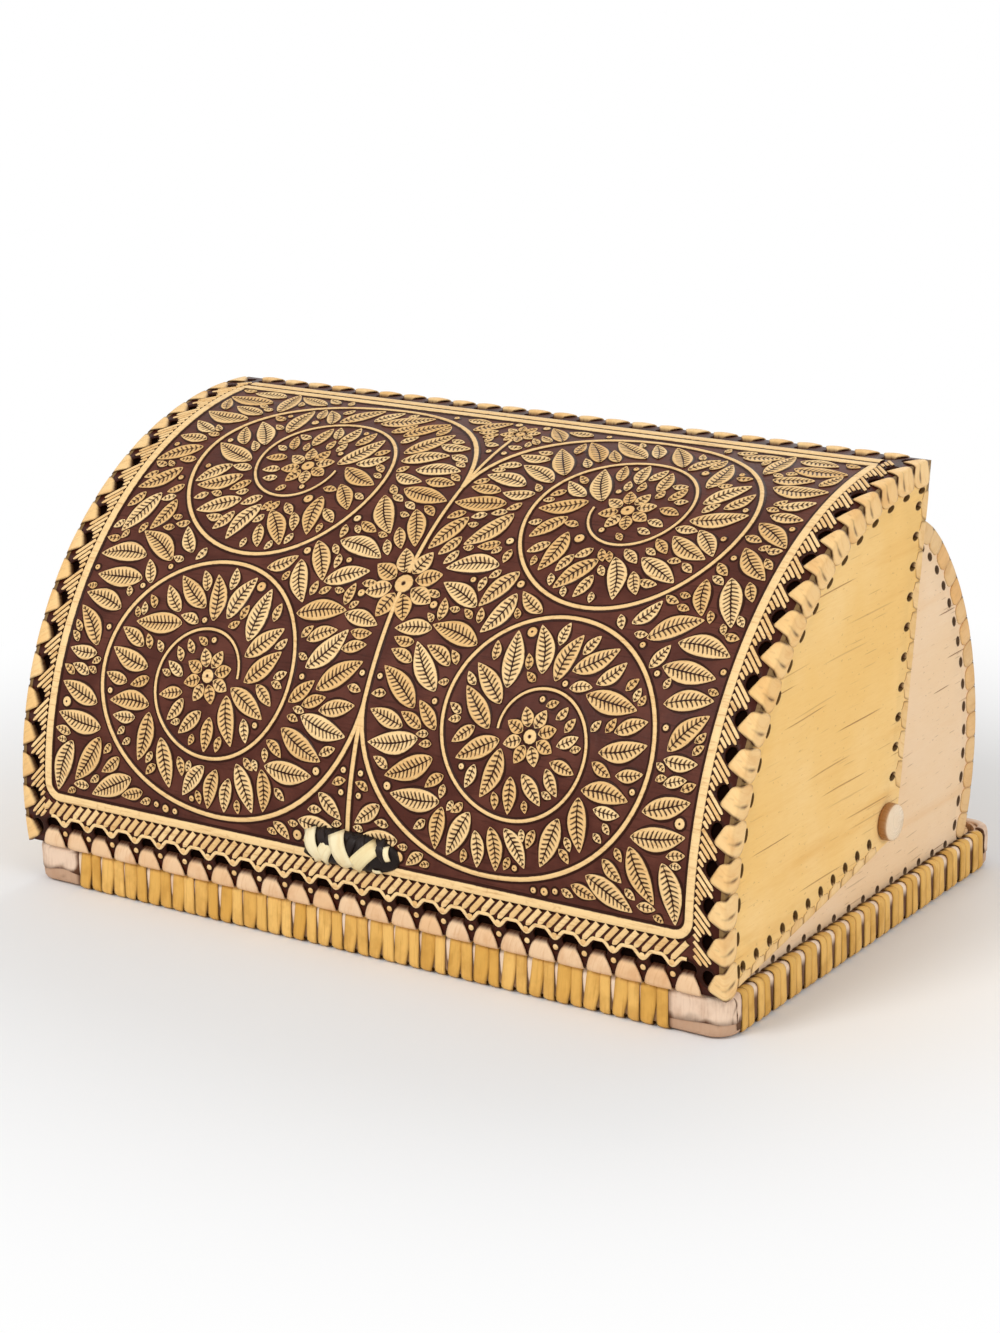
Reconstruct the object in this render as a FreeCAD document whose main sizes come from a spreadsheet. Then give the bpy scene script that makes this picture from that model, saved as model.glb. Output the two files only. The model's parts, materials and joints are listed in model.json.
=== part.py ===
"""Birch bark bread box with a barrel lid that swings back over the body.

Millimetres. X runs along the box, -Y is the front, +Z is up. The origin is the middle of the underside.
Sheets of bark stand on a board with a lashed rim; strips of bark lace every edge and corner.
"""
import FreeCAD, Part
import math
import os
import re
import Sketcher

VECTOR = FreeCAD.Vector
doc = FreeCAD.newDocument("birch_bark_box")

DRIVING = {
    # base: board, facing sheets and the lashed rim
    "base_width": 380,
    "base_depth": 252,
    "base_height": 19,
    "base_corner": 18,
    "floor_drop": 2,        # floor, down from the top of the rim
    "facing": 1,            # bark facing above and below the board
    "wrap_bark": 1,         # thickness of a rim strip
    "wrap_width": 10.4,
    "wrap_pitch": 14.4,
    "side_wrap_width": 9.6,
    "side_wrap_pitch": 13.5,
    "corner_clear": 24,     # bare stretch of rim at each corner
    "snug": 0.1,            # clearance between a strip and what it binds
    "play": 0.25,           # gap between faces that turn past each other
    "rim_bevel": 1.8,
    # bark walls
    "bark": 1.8,
    "lining": 1,
    "lining_inset": 14,     # linings stop short of the laced edges
    "lace": 0.9,            # thickness of a lacing strip
    "slit": 1.6,            # height of an awl slit
    "ease": 0.3,            # room at each end of a slit
    # body
    "body_inset": 5.5,      # outer face of a side panel, in from the rim
    "back_radius": 142.5,
    "back_ledge": 24.6,     # foot of the back, in from the rim
    "back_rise": 51,        # centre of the back's circle, up from the rim
    "blend_radius": 60,
    "mouth_gap": 2.8,       # between the lid's lining and the body, about the hinge
    "shell_end": 102,       # angle of the shell's front edge about the hinge
    "body_pitch": 12.5,
    "body_lace_width": 8,
    "body_lace_reach": 10.5,
    "shell_lace_reach": 7,
    # hinge
    "hinge_y": 13.5,
    "hinge_rise": 35,       # up from the rim
    "peg_radius": 4,
    "peg_play": 0.06,
    "peg_head_radius": 9.5,
    "peg_head_rim": 3.4,
    "peg_head_dome": 2.2,
    "washer_radius": 9,
    "washer": 3,
    "peg_tail": 1.5,        # shank that shows past its washer
    # lid
    "lid_inset": 0.5,       # outer face of a lid side, in from the rim
    "lid_radius": 168.5,
    "lid_overhang": 1.7,    # lower edge of the front, out from the rim
    "lid_rise": 22,         # axis of the front's curve, up from the rim
    "lid_gap": 1.4,         # lower edge of the bark, up from the rim
    "rear_lean": 10,        # lean of the lid's rear edge from upright
    "lid_heel": 10.5,       # rounded corner of the lid's side about the hinge
    "hole_width": 5.4,      # punched hole under the top of a front strip
    "hole_height": 4.6,
    "strip_neck": 4.4,      # width of a front strip where it enters its hole
    "front_pitch": 14.4,
    "front_lace_width": 8.8,
    "front_lace_reach": 9.5,
    "rear_lace_reach": 7,
    "rear_lace_width": 7,
    "arc_pitch": 15.6,
    "arc_lace_width": 7.6,
    "arc_front_reach": 7,
    "arc_side_reach": 10.5,
    "arc_hole": 4.6,        # width of a punched hole beside the front's curved edge
    "edge_pitch": 13.3,
    "edge_lace_width": 6.4,
    "edge_lace_reach": 7.6,
    "under_pitch": 11.2,
    "under_lace_reach": 6,
    # pull
    "pull_x": 4,
    "pull_height": 9.8,     # above the lid's axis
    "pull_length": 52,
    "pull_breadth": 17,
    "pull_depth": 7,
    "pull_bevel": 2.4,
    "tie_span": 18,
    "tie_width": 5,
}

DERIVED = {
    "floor_level": "base_height - floor_drop",
    "hinge_z": "base_height + hinge_rise",
    "lid_width": "base_width - lid_inset * 2",
    "lid_z": "base_height + lid_rise",
    "lid_rest": "base_height + lid_gap",
    "front_turn": "asin((lid_rest - lid_z) / lid_radius) / 1 deg",
    "lid_y": "lid_radius * cos(front_turn) - base_depth / 2 - lid_overhang",
    "back_z": "base_height + back_rise",
    "back_y": "base_depth / 2 - back_ledge - sqrt(back_radius ^ 2 - (back_z - floor_level) ^ 2)",
    "hinge_offset": "sqrt((lid_y - hinge_y) ^ 2 + (lid_z - hinge_z) ^ 2)",
    "mouth_radius": "lid_radius - bark - lining - hinge_offset - mouth_gap",
    "body_half": "base_width / 2 - body_inset",
    "body_inner": "body_half - bark",
    "board_half_x": "body_inner - snug",
    "board_half_y": "base_depth / 2 - body_inset",
    "core_out": "wrap_bark + snug",
    "core_in": "body_inset - snug * 2 - wrap_bark",
    # back circle and hinge circle, joined by a smaller circle that touches both inside
    "far_y": "hinge_y - back_y",
    "far_z": "hinge_z - back_z",
    "far": "sqrt(far_y ^ 2 + far_z ^ 2)",
    "reach_back": "back_radius - blend_radius",
    "reach_mouth": "mouth_radius - blend_radius",
    "along": "(reach_back ^ 2 - reach_mouth ^ 2 + far ^ 2) / (2 * far)",
    "aside": "sqrt(reach_back ^ 2 - along ^ 2)",
    "blend_y": "back_y + (along * far_y - aside * far_z) / far",
    "blend_z": "back_z + (along * far_z + aside * far_y) / far",
    "back_turn": "atan2(blend_z - back_z; blend_y - back_y) / 1 deg",
    "mouth_turn": "atan2(blend_z - hinge_z; blend_y - hinge_y) / 1 deg",
    "foot_turn": "asin((floor_level - back_z) / back_radius) / 1 deg",
    # lid profile
    "lid_half": "lid_width / 2",
    "lid_inner": "lid_half - bark",
    "lip_level": "base_height + snug",
    "lip_y": "base_corner - base_depth / 2 + snug",
    "heel_y": "hinge_y + lid_heel * cos(rear_lean)",
    "heel_z": "hinge_z - lid_heel * sin(rear_lean)",
    "heel_lag": "(heel_y - lid_y) * sin(rear_lean) + (heel_z - lid_z) * cos(rear_lean)",
    "heel_span": "sqrt((heel_y - lid_y) ^ 2 + (heel_z - lid_z) ^ 2)",
    "rear_length": "sqrt(lid_radius ^ 2 - heel_span ^ 2 + heel_lag ^ 2) - heel_lag",
    "rear_y": "heel_y + rear_length * sin(rear_lean)",
    "rear_z": "heel_z + rear_length * cos(rear_lean)",
    "rear_turn": "180 - atan2(rear_z - lid_z; rear_y - lid_y) / 1 deg",
    "toe_y": "lid_y - lid_radius * cos(front_turn)",
    "toe_far": "sqrt((hinge_y - toe_y) ^ 2 + (hinge_z - lid_rest) ^ 2)",
    "toe_rise": "atan2(hinge_z - lid_rest; hinge_y - toe_y) / 1 deg - asin(lid_heel / toe_far) / 1 deg",
    "under_length": "sqrt(toe_far ^ 2 - lid_heel ^ 2)",
    "pull_turn": "asin(pull_height / lid_radius) / 1 deg",
    "washer_face": "body_inner - lining - snug",
    "spacer": "lid_inner - body_half - play",
    "end_room": "arc_side_reach + edge_lace_width / 2 + slit",
}


def make_sheet(name, cells):
    """Put each value or formula in column B, named by an alias, with its name in column A."""
    sheet = doc.addObject("Spreadsheet::Sheet", name)
    for row, (alias, content) in enumerate(cells.items(), 1):
        sheet.set(f"A{row}", alias)
        sheet.set(f"B{row}", str(content))
        sheet.setAlias(f"B{row}", alias)
    doc.recompute()
    return sheet


def bound(expression):
    """Spell out which sheet each named size is in."""
    def sheet_name(word):
        if word[0] in DRIVING:
            return f"Driving.{word[0]}"
        return f"Derived.{word[0]}" if word[0] in DERIVED else word[0]
    return re.sub(r"[a-z][a-z_]*", sheet_name, str(expression))


driving = make_sheet("Driving", DRIVING)
derived = make_sheet("Derived", {name: "=" + bound(text) for name, text in DERIVED.items()})


def size(expression):
    """The present value of an expression in named sizes."""
    return float(driving.evalExpression(bound(expression)))


def make_body(name):
    body = doc.addObject("PartDesign::Body", name)
    body.Label = name
    body.AllowCompound = True
    return body


def origin_feature(body, role):
    return next(item for item in body.Origin.OriginFeatures if item.Role == role)


def make_sketch(body, plane, at=("0", "0", "0"), turn=None, axis=VECTOR(0, 0, 1)):
    """A sketch on one of the body's own planes, moved and turned within that plane's own axes."""
    sketch = body.newObject("Sketcher::SketchObject", f"{body.Name}_sketch")
    sketch.AttachmentSupport = [(origin_feature(body, plane), "")]
    sketch.MapMode = "FlatFace"
    angle = 0 if turn is None else size(turn)
    sketch.AttachmentOffset = FreeCAD.Placement(VECTOR(0, 0, 0), FreeCAD.Rotation(axis, angle))
    for letter, expression in zip("xyz", at):
        sketch.setExpression(f".AttachmentOffset.Base.{letter}", bound(expression))
    if turn is not None:
        sketch.setExpression(".AttachmentOffset.Rotation.Angle", bound(turn))
    return sketch


def place(sketch, vertex, at):
    """Hold a vertex of a sketch at two expressions."""
    for kind, expression in zip(("DistanceX", "DistanceY"), at):
        index = sketch.addConstraint(Sketcher.Constraint(kind, -1, 1, *vertex, size(expression)))
        sketch.setExpression(f"Constraints[{index}]", bound(expression))


def arc_between(start, end, radius, hand):
    """The short arc from start to end; hand is 1 when it turns left, -1 when it turns right."""
    chord = end - start
    middle = (start + end) / 2
    inward = VECTOR(-chord.y, chord.x, 0).normalize() * hand
    centre = middle + inward * math.sqrt(max(radius ** 2 - (chord.Length / 2) ** 2, 0))
    angles = [math.atan2((point - centre).y, (point - centre).x) for point in (start, end)]
    if hand < 0:
        angles.reverse()
    return Part.ArcOfCircle(Part.Circle(centre, VECTOR(0, 0, 1), radius), *angles)


def outline(sketch, corners, arcs=None):
    """A closed outline through corners. arcs gives (radius, hand) for the side that leaves a corner."""
    arcs = arcs or {}
    points = [VECTOR(size(u), size(v), 0) for u, v in corners]
    ends = []
    for index, start in enumerate(points):
        end = points[(index + 1) % len(points)]
        if index in arcs:
            radius, hand = arcs[index]
            geometry = sketch.addGeometry(arc_between(start, end, size(radius), hand), False)
            ends.append((geometry, 1, 2) if hand > 0 else (geometry, 2, 1))
        else:
            geometry = sketch.addGeometry(Part.LineSegment(start, end), False)
            ends.append((geometry, 1, 2))
    for index, (geometry, first, last) in enumerate(ends):
        following = ends[(index + 1) % len(ends)]
        sketch.addConstraint(Sketcher.Constraint("Coincident", geometry, last, following[0], following[1]))
        place(sketch, (geometry, first), corners[index])
        if index in arcs:
            radius = arcs[index][0]
            hold = sketch.addConstraint(Sketcher.Constraint("Radius", geometry, size(radius)))
            sketch.setExpression(f"Constraints[{hold}]", bound(radius))


def rectangle(sketch, low, high):
    """A rectangle between two corners, each a pair of expressions."""
    outline(sketch, [low, (high[0], low[1]), high, (low[0], high[1])])


def circle(sketch, at, radius):
    geometry = sketch.addGeometry(Part.Circle(VECTOR(size(at[0]), size(at[1]), 0), VECTOR(0, 0, 1),
                                              size(radius)), False)
    place(sketch, (geometry, 3), at)
    hold = sketch.addConstraint(Sketcher.Constraint("Radius", geometry, size(radius)))
    sketch.setExpression(f"Constraints[{hold}]", bound(radius))


def rounded_rectangle(sketch, half_x, half_y, radius):
    """A centred rectangle with rounded corners."""
    corners, arcs = [], {}
    for index, (x, y) in enumerate(((1, -1), (1, 1), (-1, 1), (-1, -1))):
        run = (f"{x} * ({half_x} - ({radius}))", f"{y} * ({half_y})")
        rise = (f"{x} * ({half_x})", f"{y} * ({half_y} - ({radius}))")
        corners += [run, rise] if index % 2 == 0 else [rise, run]
        arcs[index * 2] = (radius, 1)
    outline(sketch, corners, arcs)


def pad(body, sketch, length, middle=False):
    feature = body.newObject("PartDesign::Pad", f"{body.Name}_pad")
    feature.Profile = sketch
    feature.setExpression("Length", bound(length))
    feature.Midplane = middle
    return feature


def pocket(body, sketch, length, middle=False, backward=False):
    """Cut a sketch out of the body, along its normal or both ways."""
    feature = body.newObject("PartDesign::Pocket", f"{body.Name}_pocket")
    feature.Profile = sketch
    feature.setExpression("Length", bound(length))
    feature.Midplane = middle
    feature.Reversed = backward
    return feature


def revolve(body, sketch, axis, angle):
    feature = body.newObject("PartDesign::Revolution", f"{body.Name}_turn")
    feature.Profile = sketch
    feature.ReferenceAxis = (sketch, [axis])
    feature.Angle = angle
    return feature


def row_start(pitch, span):
    """Where the first of a centred row stands."""
    return f"(-(floor(({span}) / ({pitch})) - 1) * ({pitch}) / 2)"


def along_row(body, features, axis, pitch, span):
    """Repeat features along an axis, as many times as the span has room for."""
    count = f"floor(({span}) / ({pitch}))"
    row = body.newObject("PartDesign::LinearPattern", f"{body.Name}_row")
    row.Originals = features
    row.Direction = (origin_feature(body, axis), [""])
    row.setExpression("Length", bound(f"({count} - 1) * ({pitch})"))
    row.setExpression("Occurrences", bound(count))
    body.Tip = row


def around(body, feature, axis_sketch, turn, count, backward=True):
    """Repeat a feature about a sketch's normal, which points along +X."""
    ring = body.newObject("PartDesign::PolarPattern", f"{body.Name}_ring")
    ring.Originals = [feature]
    ring.Axis = (axis_sketch, ["N_Axis"])
    ring.Reversed = backward
    ring.setExpression("Angle", bound(turn))
    ring.setExpression("Occurrences", bound(count))
    body.Tip = ring


def on_circle(centre, radius, turn):
    """Y and Z of a point at an angle up from the rear (+Y) about a centre."""
    return (f"{centre[0]} + ({radius}) * cos({turn})", f"{centre[1]} + ({radius}) * sin({turn})")


BACK = ("back_y", "back_z")
BLEND = ("blend_y", "blend_z")
HINGE = ("hinge_y", "hinge_z")
LID = ("lid_y", "lid_z")
SIDES = (("left", -1), ("right", 1))


# ---------------------------------------------------------------- base

def flat_sheet(name, bottom, thickness):
    body = make_body(name)
    sketch = make_sketch(body, "XY_Plane", ("0", "0", bottom))
    rounded_rectangle(sketch, "board_half_x", "board_half_y", "base_corner - body_inset")
    pad(body, sketch, thickness)


def rim_core():
    """The hoop round the board, bevelled on its outer edges."""
    body = make_body("rim_core")
    height = "base_height - core_out * 2"
    outside = make_sketch(body, "XY_Plane", ("0", "0", "core_out"))
    rounded_rectangle(outside, "base_width / 2 - core_out", "base_depth / 2 - core_out",
                      "base_corner - core_out")
    hoop = pad(body, outside, height)
    inside = make_sketch(body, "XY_Plane", ("0", "0", "core_out"))
    rounded_rectangle(inside, "base_width / 2 - core_in", "base_depth / 2 - core_in",
                      "base_corner - core_in")
    cut = pocket(body, inside, height, backward=True)
    doc.recompute()
    limit = VECTOR(size("base_width / 2 - core_in"), size("base_depth / 2 - core_in"), 0)
    levels = (size("core_out"), size("base_height - core_out"))
    outer = []
    for index, edge in enumerate(cut.Shape.Edges, 1):
        box = edge.BoundBox
        flat = box.ZLength < 0.01 and any(abs(box.ZMin - level) < 0.01 for level in levels)
        point = edge.valueAt((edge.FirstParameter + edge.LastParameter) / 2)
        beyond = abs(point.x) > limit.x + 0.5 or abs(point.y) > limit.y + 0.5
        corner = VECTOR(max(abs(point.x) - size("base_width / 2 - base_corner"), 0),
                        max(abs(point.y) - size("base_depth / 2 - base_corner"), 0), 0)
        if flat and (beyond or corner.Length > size("base_corner - core_in") + 0.5):
            outer.append(f"Edge{index}")
    bevel = body.newObject("PartDesign::Chamfer", "rim_core_bevel")
    bevel.Base = (cut, outer)
    bevel.setExpression("Size", bound("rim_bevel"))
    body.Tip = bevel


def rim_section(sketch, direction, edge):
    """A closed loop of bark round the hoop, between the seam and the rim's outer face."""
    inner = f"{edge} - body_inset + snug"
    for shrink in ("0", "wrap_bark"):
        low, high = (f"{inner} + {shrink}", shrink), (f"{edge} - {shrink}", f"base_height - {shrink}")
        ends = sorted((f"{direction} * ({u})" for u in (low[0], high[0])), key=size)
        rectangle(sketch, (ends[0], low[1]), (ends[1], high[1]))


def rim_binding(side, direction, along_x):
    """Strips lashed round the rim: over the top, down the outside, under and up through the seam."""
    body = make_body(f"rim_binding_{side}")
    edge = "base_depth / 2" if along_x else "base_width / 2"
    width = "wrap_width" if along_x else "side_wrap_width"
    pitch = "wrap_pitch" if along_x else "side_wrap_pitch"
    long_side = "base_width" if along_x else "base_depth"
    span = f"{long_side} - corner_clear * 2"
    start = row_start(pitch, span)
    plane, shift = ("YZ_Plane", ("0", "0", start)) if along_x else ("XZ_Plane", ("0", "0", f"-({start})"))
    sketch = make_sketch(body, plane, shift)
    rim_section(sketch, direction, edge)
    strip = pad(body, sketch, width, middle=True)
    along_row(body, [strip], "X_Axis" if along_x else "Y_Axis", pitch, span)


def rim_corners():
    """A bare patch of bark folded over each corner of the rim."""
    body = make_body("rim_corners")
    for side_x, side_y in ((-1, -1), (1, -1), (-1, 1), (1, 1)):
        centre_x = f"{side_x} * (base_width / 2 - base_corner)"
        centre_y = f"{side_y} * (base_depth / 2 - base_corner)"
        sketch = make_sketch(body, "XZ_Plane", (centre_x, "0", f"-({centre_y})"))
        rim_section(sketch, side_x, "base_corner")
        turn = revolve(body, sketch, "V_Axis", 90)
        turn.Reversed = side_x * side_y < 0


# ---------------------------------------------------------------- body

def wall_outline(sketch, inset, skirt):
    """Back circle, blend, then the circle about the hinge down to the front.

    With a skirt, the foot goes down between board and hoop, behind the rim's front corner.
    """
    radii = [f"{name} - {inset}" for name in ("back_radius", "blend_radius", "mouth_radius")]
    front_level = "lip_level" if skirt else "floor_level"
    back_foot = f"back_y + sqrt(({radii[0]}) ^ 2 - (back_z - floor_level) ^ 2)"
    front_foot = f"hinge_y - sqrt(({radii[2]}) ^ 2 - (hinge_z - {front_level}) ^ 2)"
    below = [("lip_y", front_level), ("lip_y", "facing"), (back_foot, "facing")] if skirt else []
    corners = below + [(back_foot, "floor_level"), on_circle(BACK, radii[0], "back_turn"),
                       on_circle(HINGE, radii[2], "mouth_turn"),
                       ("hinge_y", f"hinge_z + {radii[2]}"), (front_foot, front_level)]
    sides = (radii[0], radii[1], radii[2], radii[2])
    outline(sketch, corners, {len(below) + step: (radius, 1) for step, radius in enumerate(sides)})
    circle(sketch, HINGE, "peg_radius + peg_play")


# centre, radius, first angle and last angle of each stretch of the body's laced edge
BODY_RUNS = ((BACK, "back_radius", "foot_turn", "back_turn"),
             (BLEND, "blend_radius", "back_turn", "mouth_turn"),
             (HINGE, "mouth_radius", "mouth_turn", "shell_end"))


def run_pattern(run):
    """Half a pitch in from the ends of a stretch: first angle, last angle and count."""
    radius, first, last = run[1:]
    count = f"floor(({last} - {first}) * pi / 180 * {radius} / body_pitch + 0.5)"
    step = f"(({last} - {first}) / ({count}))"
    return f"{first} + {step} / 2", f"({count} - 1) * {step}", count


def body_cuts(body, cut_start, draw, depth):
    """Cut one shape on the radial plane of each laced stretch and repeat it."""
    for run in BODY_RUNS:
        first, turn, count = run_pattern(run)
        centre = run[0]
        sketch = make_sketch(body, "YZ_Plane", (centre[0], centre[1], cut_start), first)
        draw(sketch, run[1])
        cut = pocket(body, sketch, depth, middle=True)
        axis = make_sketch(body, "YZ_Plane", (centre[0], centre[1], "0"))
        around(body, cut, axis, turn, count, backward=False)


def side_panel(name, side):
    body = make_body(name)
    start = "body_inner" if side > 0 else "-body_half"
    sketch = make_sketch(body, "YZ_Plane", ("0", "0", start))
    wall_outline(sketch, "0", True)
    pad(body, sketch, "bark")

    def slit_shape(sketch, radius):
        rectangle(sketch, (f"{radius} - body_lace_reach - slit / 2", "-body_lace_width / 2 - ease"),
                  (f"{radius} - body_lace_reach + slit / 2", "body_lace_width / 2 + ease"))
    body_cuts(body, f"{side} * (body_half - bark / 2)", slit_shape, "bark * 2")


def side_lining(name, side):
    body = make_body(name)
    start = "body_inner - snug / 2 - lining" if side > 0 else "-body_inner + snug / 2"
    sketch = make_sketch(body, "YZ_Plane", ("0", "0", start))
    wall_outline(sketch, "lining_inset", False)
    pad(body, sketch, "lining")


def shell_outline(sketch, inset, thickness):
    """A curved sheet that follows the back circle, the blend and the hinge circle."""
    outer = [f"{name} - {inset}" for name in ("back_radius", "blend_radius", "mouth_radius")]
    inner = [f"{radius} - {thickness}" for radius in outer]

    def foot(radius):
        return (f"back_y + sqrt(({radius}) ^ 2 - (back_z - floor_level) ^ 2)", "floor_level")

    def path(radii):
        return [foot(radii[0]), on_circle(BACK, radii[0], "back_turn"),
                on_circle(HINGE, radii[2], "mouth_turn"), on_circle(HINGE, radii[2], "shell_end")]
    outline(sketch, path(outer) + path(inner)[::-1],
            {0: (outer[0], 1), 1: (outer[1], 1), 2: (outer[2], 1),
             4: (inner[2], -1), 5: (inner[1], -1), 6: (inner[0], -1)})


def back_shell():
    body = make_body("back_shell")
    sketch = make_sketch(body, "YZ_Plane")
    shell_outline(sketch, "0", "bark")
    pad(body, sketch, "body_inner * 2", middle=True)
    for run in BODY_RUNS:
        first, turn, count = run_pattern(run)
        centre = run[0]
        plane = make_sketch(body, "XY_Plane", ("0", centre[0], centre[1]), f"{first} - 90", VECTOR(1, 0, 0))
        for side in (-1, 1):
            low, high = (f"{side} * (body_half - shell_lace_reach {sign} slit / 2)" for sign in "-+")
            ends = (low, high) if side > 0 else (high, low)
            rectangle(plane, (ends[0], "-body_lace_width / 2 - ease"),
                      (ends[1], "body_lace_width / 2 + ease"))
        cut = pocket(body, plane, f"{run[1]} * 2", backward=True)
        axis = make_sketch(body, "YZ_Plane", (centre[0], centre[1], "0"))
        around(body, cut, axis, turn, count, backward=False)


def back_lining():
    body = make_body("back_lining")
    sketch = make_sketch(body, "YZ_Plane")
    shell_outline(sketch, "bark - snug / 2", "lining")
    pad(body, sketch, "(body_half - lining_inset) * 2", middle=True)


def corner_strip(body, at, turn, face, reach_face, edge, reach_edge, width, side, square):
    """One strip laced round a corner: along the curved face, over the edge and down the flat side.

    The sketch's X is along the box and its Y is radial. Inside, the strip follows the corner when it is
    square and cuts across it otherwise.
    """
    sketch = make_sketch(body, "XZ_Plane", at, turn, VECTOR(1, 0, 0))
    out = f"({edge} + snug + lace)"
    top = f"({face} + snug + lace)"
    stem_x = f"({edge} - {reach_face})"
    stem_r = f"({face} - {reach_edge})"
    inside_x = f"({edge} - bark - snug - lace)"
    inside_r = f"({face} - bark - snug - lace)"

    def ring(points):
        corners = [(f"{side} * {x}", r) for x, r in points]
        outline(sketch, corners if side > 0 else corners[::-1])
    for gap in ("0", "lace"):
        left, right = f"({stem_x} - lace / 2 + {gap})", f"({out} - {gap})"
        low, high = f"({stem_r} - lace / 2 + {gap})", f"({top} - {gap})"
        nook = [(f"({inside_x} + {gap})", f"({inside_r} + {gap})")] if square else []
        ring([(left, high), (left, f"({inside_r} + {gap})"), *nook, (f"({inside_x} + {gap})", low),
              (right, low), (right, high)])
    return pad(body, sketch, width, middle=True)


def body_lacing(name, side):
    body = make_body(name)
    for run in BODY_RUNS:
        first, turn, count = run_pattern(run)
        centre = run[0]
        strip = corner_strip(body, ("0", centre[1], f"-({centre[0]})"), f"{first} - 90",
                             run[1], "shell_lace_reach", "body_half", "body_lace_reach",
                             "body_lace_width", side, False)
        axis = make_sketch(body, "YZ_Plane", (centre[0], centre[1], "0"))
        around(body, strip, axis, turn, count, backward=False)


# ---------------------------------------------------------------- hinge

def hinge_pegs():
    """Turned wooden pegs: a domed head outside the lid, a shank through the lid and the body."""
    body = make_body("hinge_pegs")
    face = "lid_half + play"
    end = "(washer_face - washer - peg_tail)"
    corners = [(end, "0"), (end, "peg_radius"), (face, "peg_radius"), (face, "peg_head_radius"),
               (f"{face} + peg_head_rim", "peg_head_radius"),
               (f"{face} + peg_head_rim + peg_head_dome", "0")]
    dome = "(peg_head_radius ^ 2 + peg_head_dome ^ 2) / (2 * peg_head_dome)"
    for side in (-1, 1):
        sketch = make_sketch(body, "XY_Plane", ("0", "hinge_y", "hinge_z"))
        outline(sketch, [(f"{side} * ({u})", v) for u, v in corners], {4: (dome, -side)})
        revolve(body, sketch, "H_Axis", 360)


def discs(name, inner_face, thickness):
    """A pierced disc on each peg, from a face at a distance to either side of the middle."""
    body = make_body(name)
    for start in (inner_face, f"-({inner_face}) - ({thickness})"):
        sketch = make_sketch(body, "YZ_Plane", ("hinge_y", "hinge_z", start))
        circle(sketch, ("0", "0"), "washer_radius")
        circle(sketch, ("0", "0"), "peg_radius + peg_play / 2")
        pad(body, sketch, thickness)


# ---------------------------------------------------------------- lid

def lid_side(name, side):
    body = make_body(name)
    sketch = make_sketch(body, "YZ_Plane", ("0", "0", "lid_inner" if side > 0 else "-lid_half"))
    heel_low = ("hinge_y + lid_heel * sin(toe_rise)", "hinge_z - lid_heel * cos(toe_rise)")
    crown = on_circle(LID, "lid_radius", "135")
    outline(sketch, [("toe_y", "lid_rest"), heel_low, ("heel_y", "heel_z"), ("rear_y", "rear_z"), crown],
            {1: ("lid_heel", 1), 3: ("lid_radius", 1), 4: ("lid_radius", 1)})
    circle(sketch, HINGE, "peg_radius + peg_play")
    pad(body, sketch, "bark")
    arc_sketch = make_sketch(body, "YZ_Plane", ("lid_y", "lid_z", "0"), f"180 - {ARC_FIRST}")
    slit_box(arc_sketch, "lid_radius - arc_side_reach", "0", "arc_lace_width")
    arc_cut = pocket(body, arc_sketch, "lid_width + bark", middle=True)
    axis = make_sketch(body, "YZ_Plane", ("lid_y", "lid_z", "0"))
    around(body, arc_cut, axis, ARC_TURN, ARC_COUNT)
    for frame in (REAR_EDGE, LOWER_EDGE):
        row_of_slits(body, frame)


def slit_box(sketch, across, along, width):
    """A slit centred at a point, thin across and wide enough for a strip."""
    rectangle(sketch, (f"{across} - slit / 2", f"{along} - {width} / 2 - ease"),
              (f"{across} + slit / 2", f"{along} + {width} / 2 + ease"))


# stitches along the lid's curve, with half a pitch spare at both ends
ARC_COUNT = "floor((rear_turn - front_turn) * pi / 180 * lid_radius / arc_pitch)"
ARC_STEP = f"((rear_turn - front_turn) / ({ARC_COUNT}))"
ARC_FIRST = f"(front_turn + {ARC_STEP} / 2)"
ARC_TURN = f"(({ARC_COUNT} - 1) * {ARC_STEP})"
# straight laced edges of the lid's side: start point, direction from +Y, length, reach and pitch
REAR_EDGE = ("heel_y", "heel_z", "90 - rear_lean", "rear_length", "edge_lace_reach", "edge_pitch")
LOWER_EDGE = ("toe_y", "lid_rest", "toe_rise", "under_length", "under_lace_reach", "under_pitch")


def row_places(frame):
    """First place and count of the stitches on a straight edge, clear of the corners at both ends."""
    length, pitch = frame[3], frame[5]
    count = f"(floor(({length} - end_room * 2) / {pitch}) + 1)"
    return f"(({length} - ({count} - 1) * {pitch}) / 2)", count


def edge_row(body, features, frame):
    """Repeat features along a straight edge."""
    count, pitch = row_places(frame)[1], frame[5]
    guide = make_sketch(body, "YZ_Plane", (frame[0], frame[1], "0"), frame[2])
    row = body.newObject("PartDesign::LinearPattern", f"{body.Name}_row")
    row.Originals = features
    row.Direction = (guide, ["H_Axis"])
    row.setExpression("Length", bound(f"({count} - 1) * {pitch}"))
    row.setExpression("Occurrences", bound(count))
    body.Tip = row


def row_of_slits(body, frame):
    """Slits beside a straight edge, in a frame whose X runs along the edge and Y runs into the sheet."""
    first = row_places(frame)[0]
    sketch = make_sketch(body, "YZ_Plane", (frame[0], frame[1], "0"), frame[2])
    half = "(edge_lace_width / 2 + ease)"
    rectangle(sketch, (f"{first} - {half}", f"{frame[4]} - slit / 2"),
              (f"{first} + {half}", f"{frame[4]} + slit / 2"))
    edge_row(body, [pocket(body, sketch, "lid_width + bark", middle=True)], frame)


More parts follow.
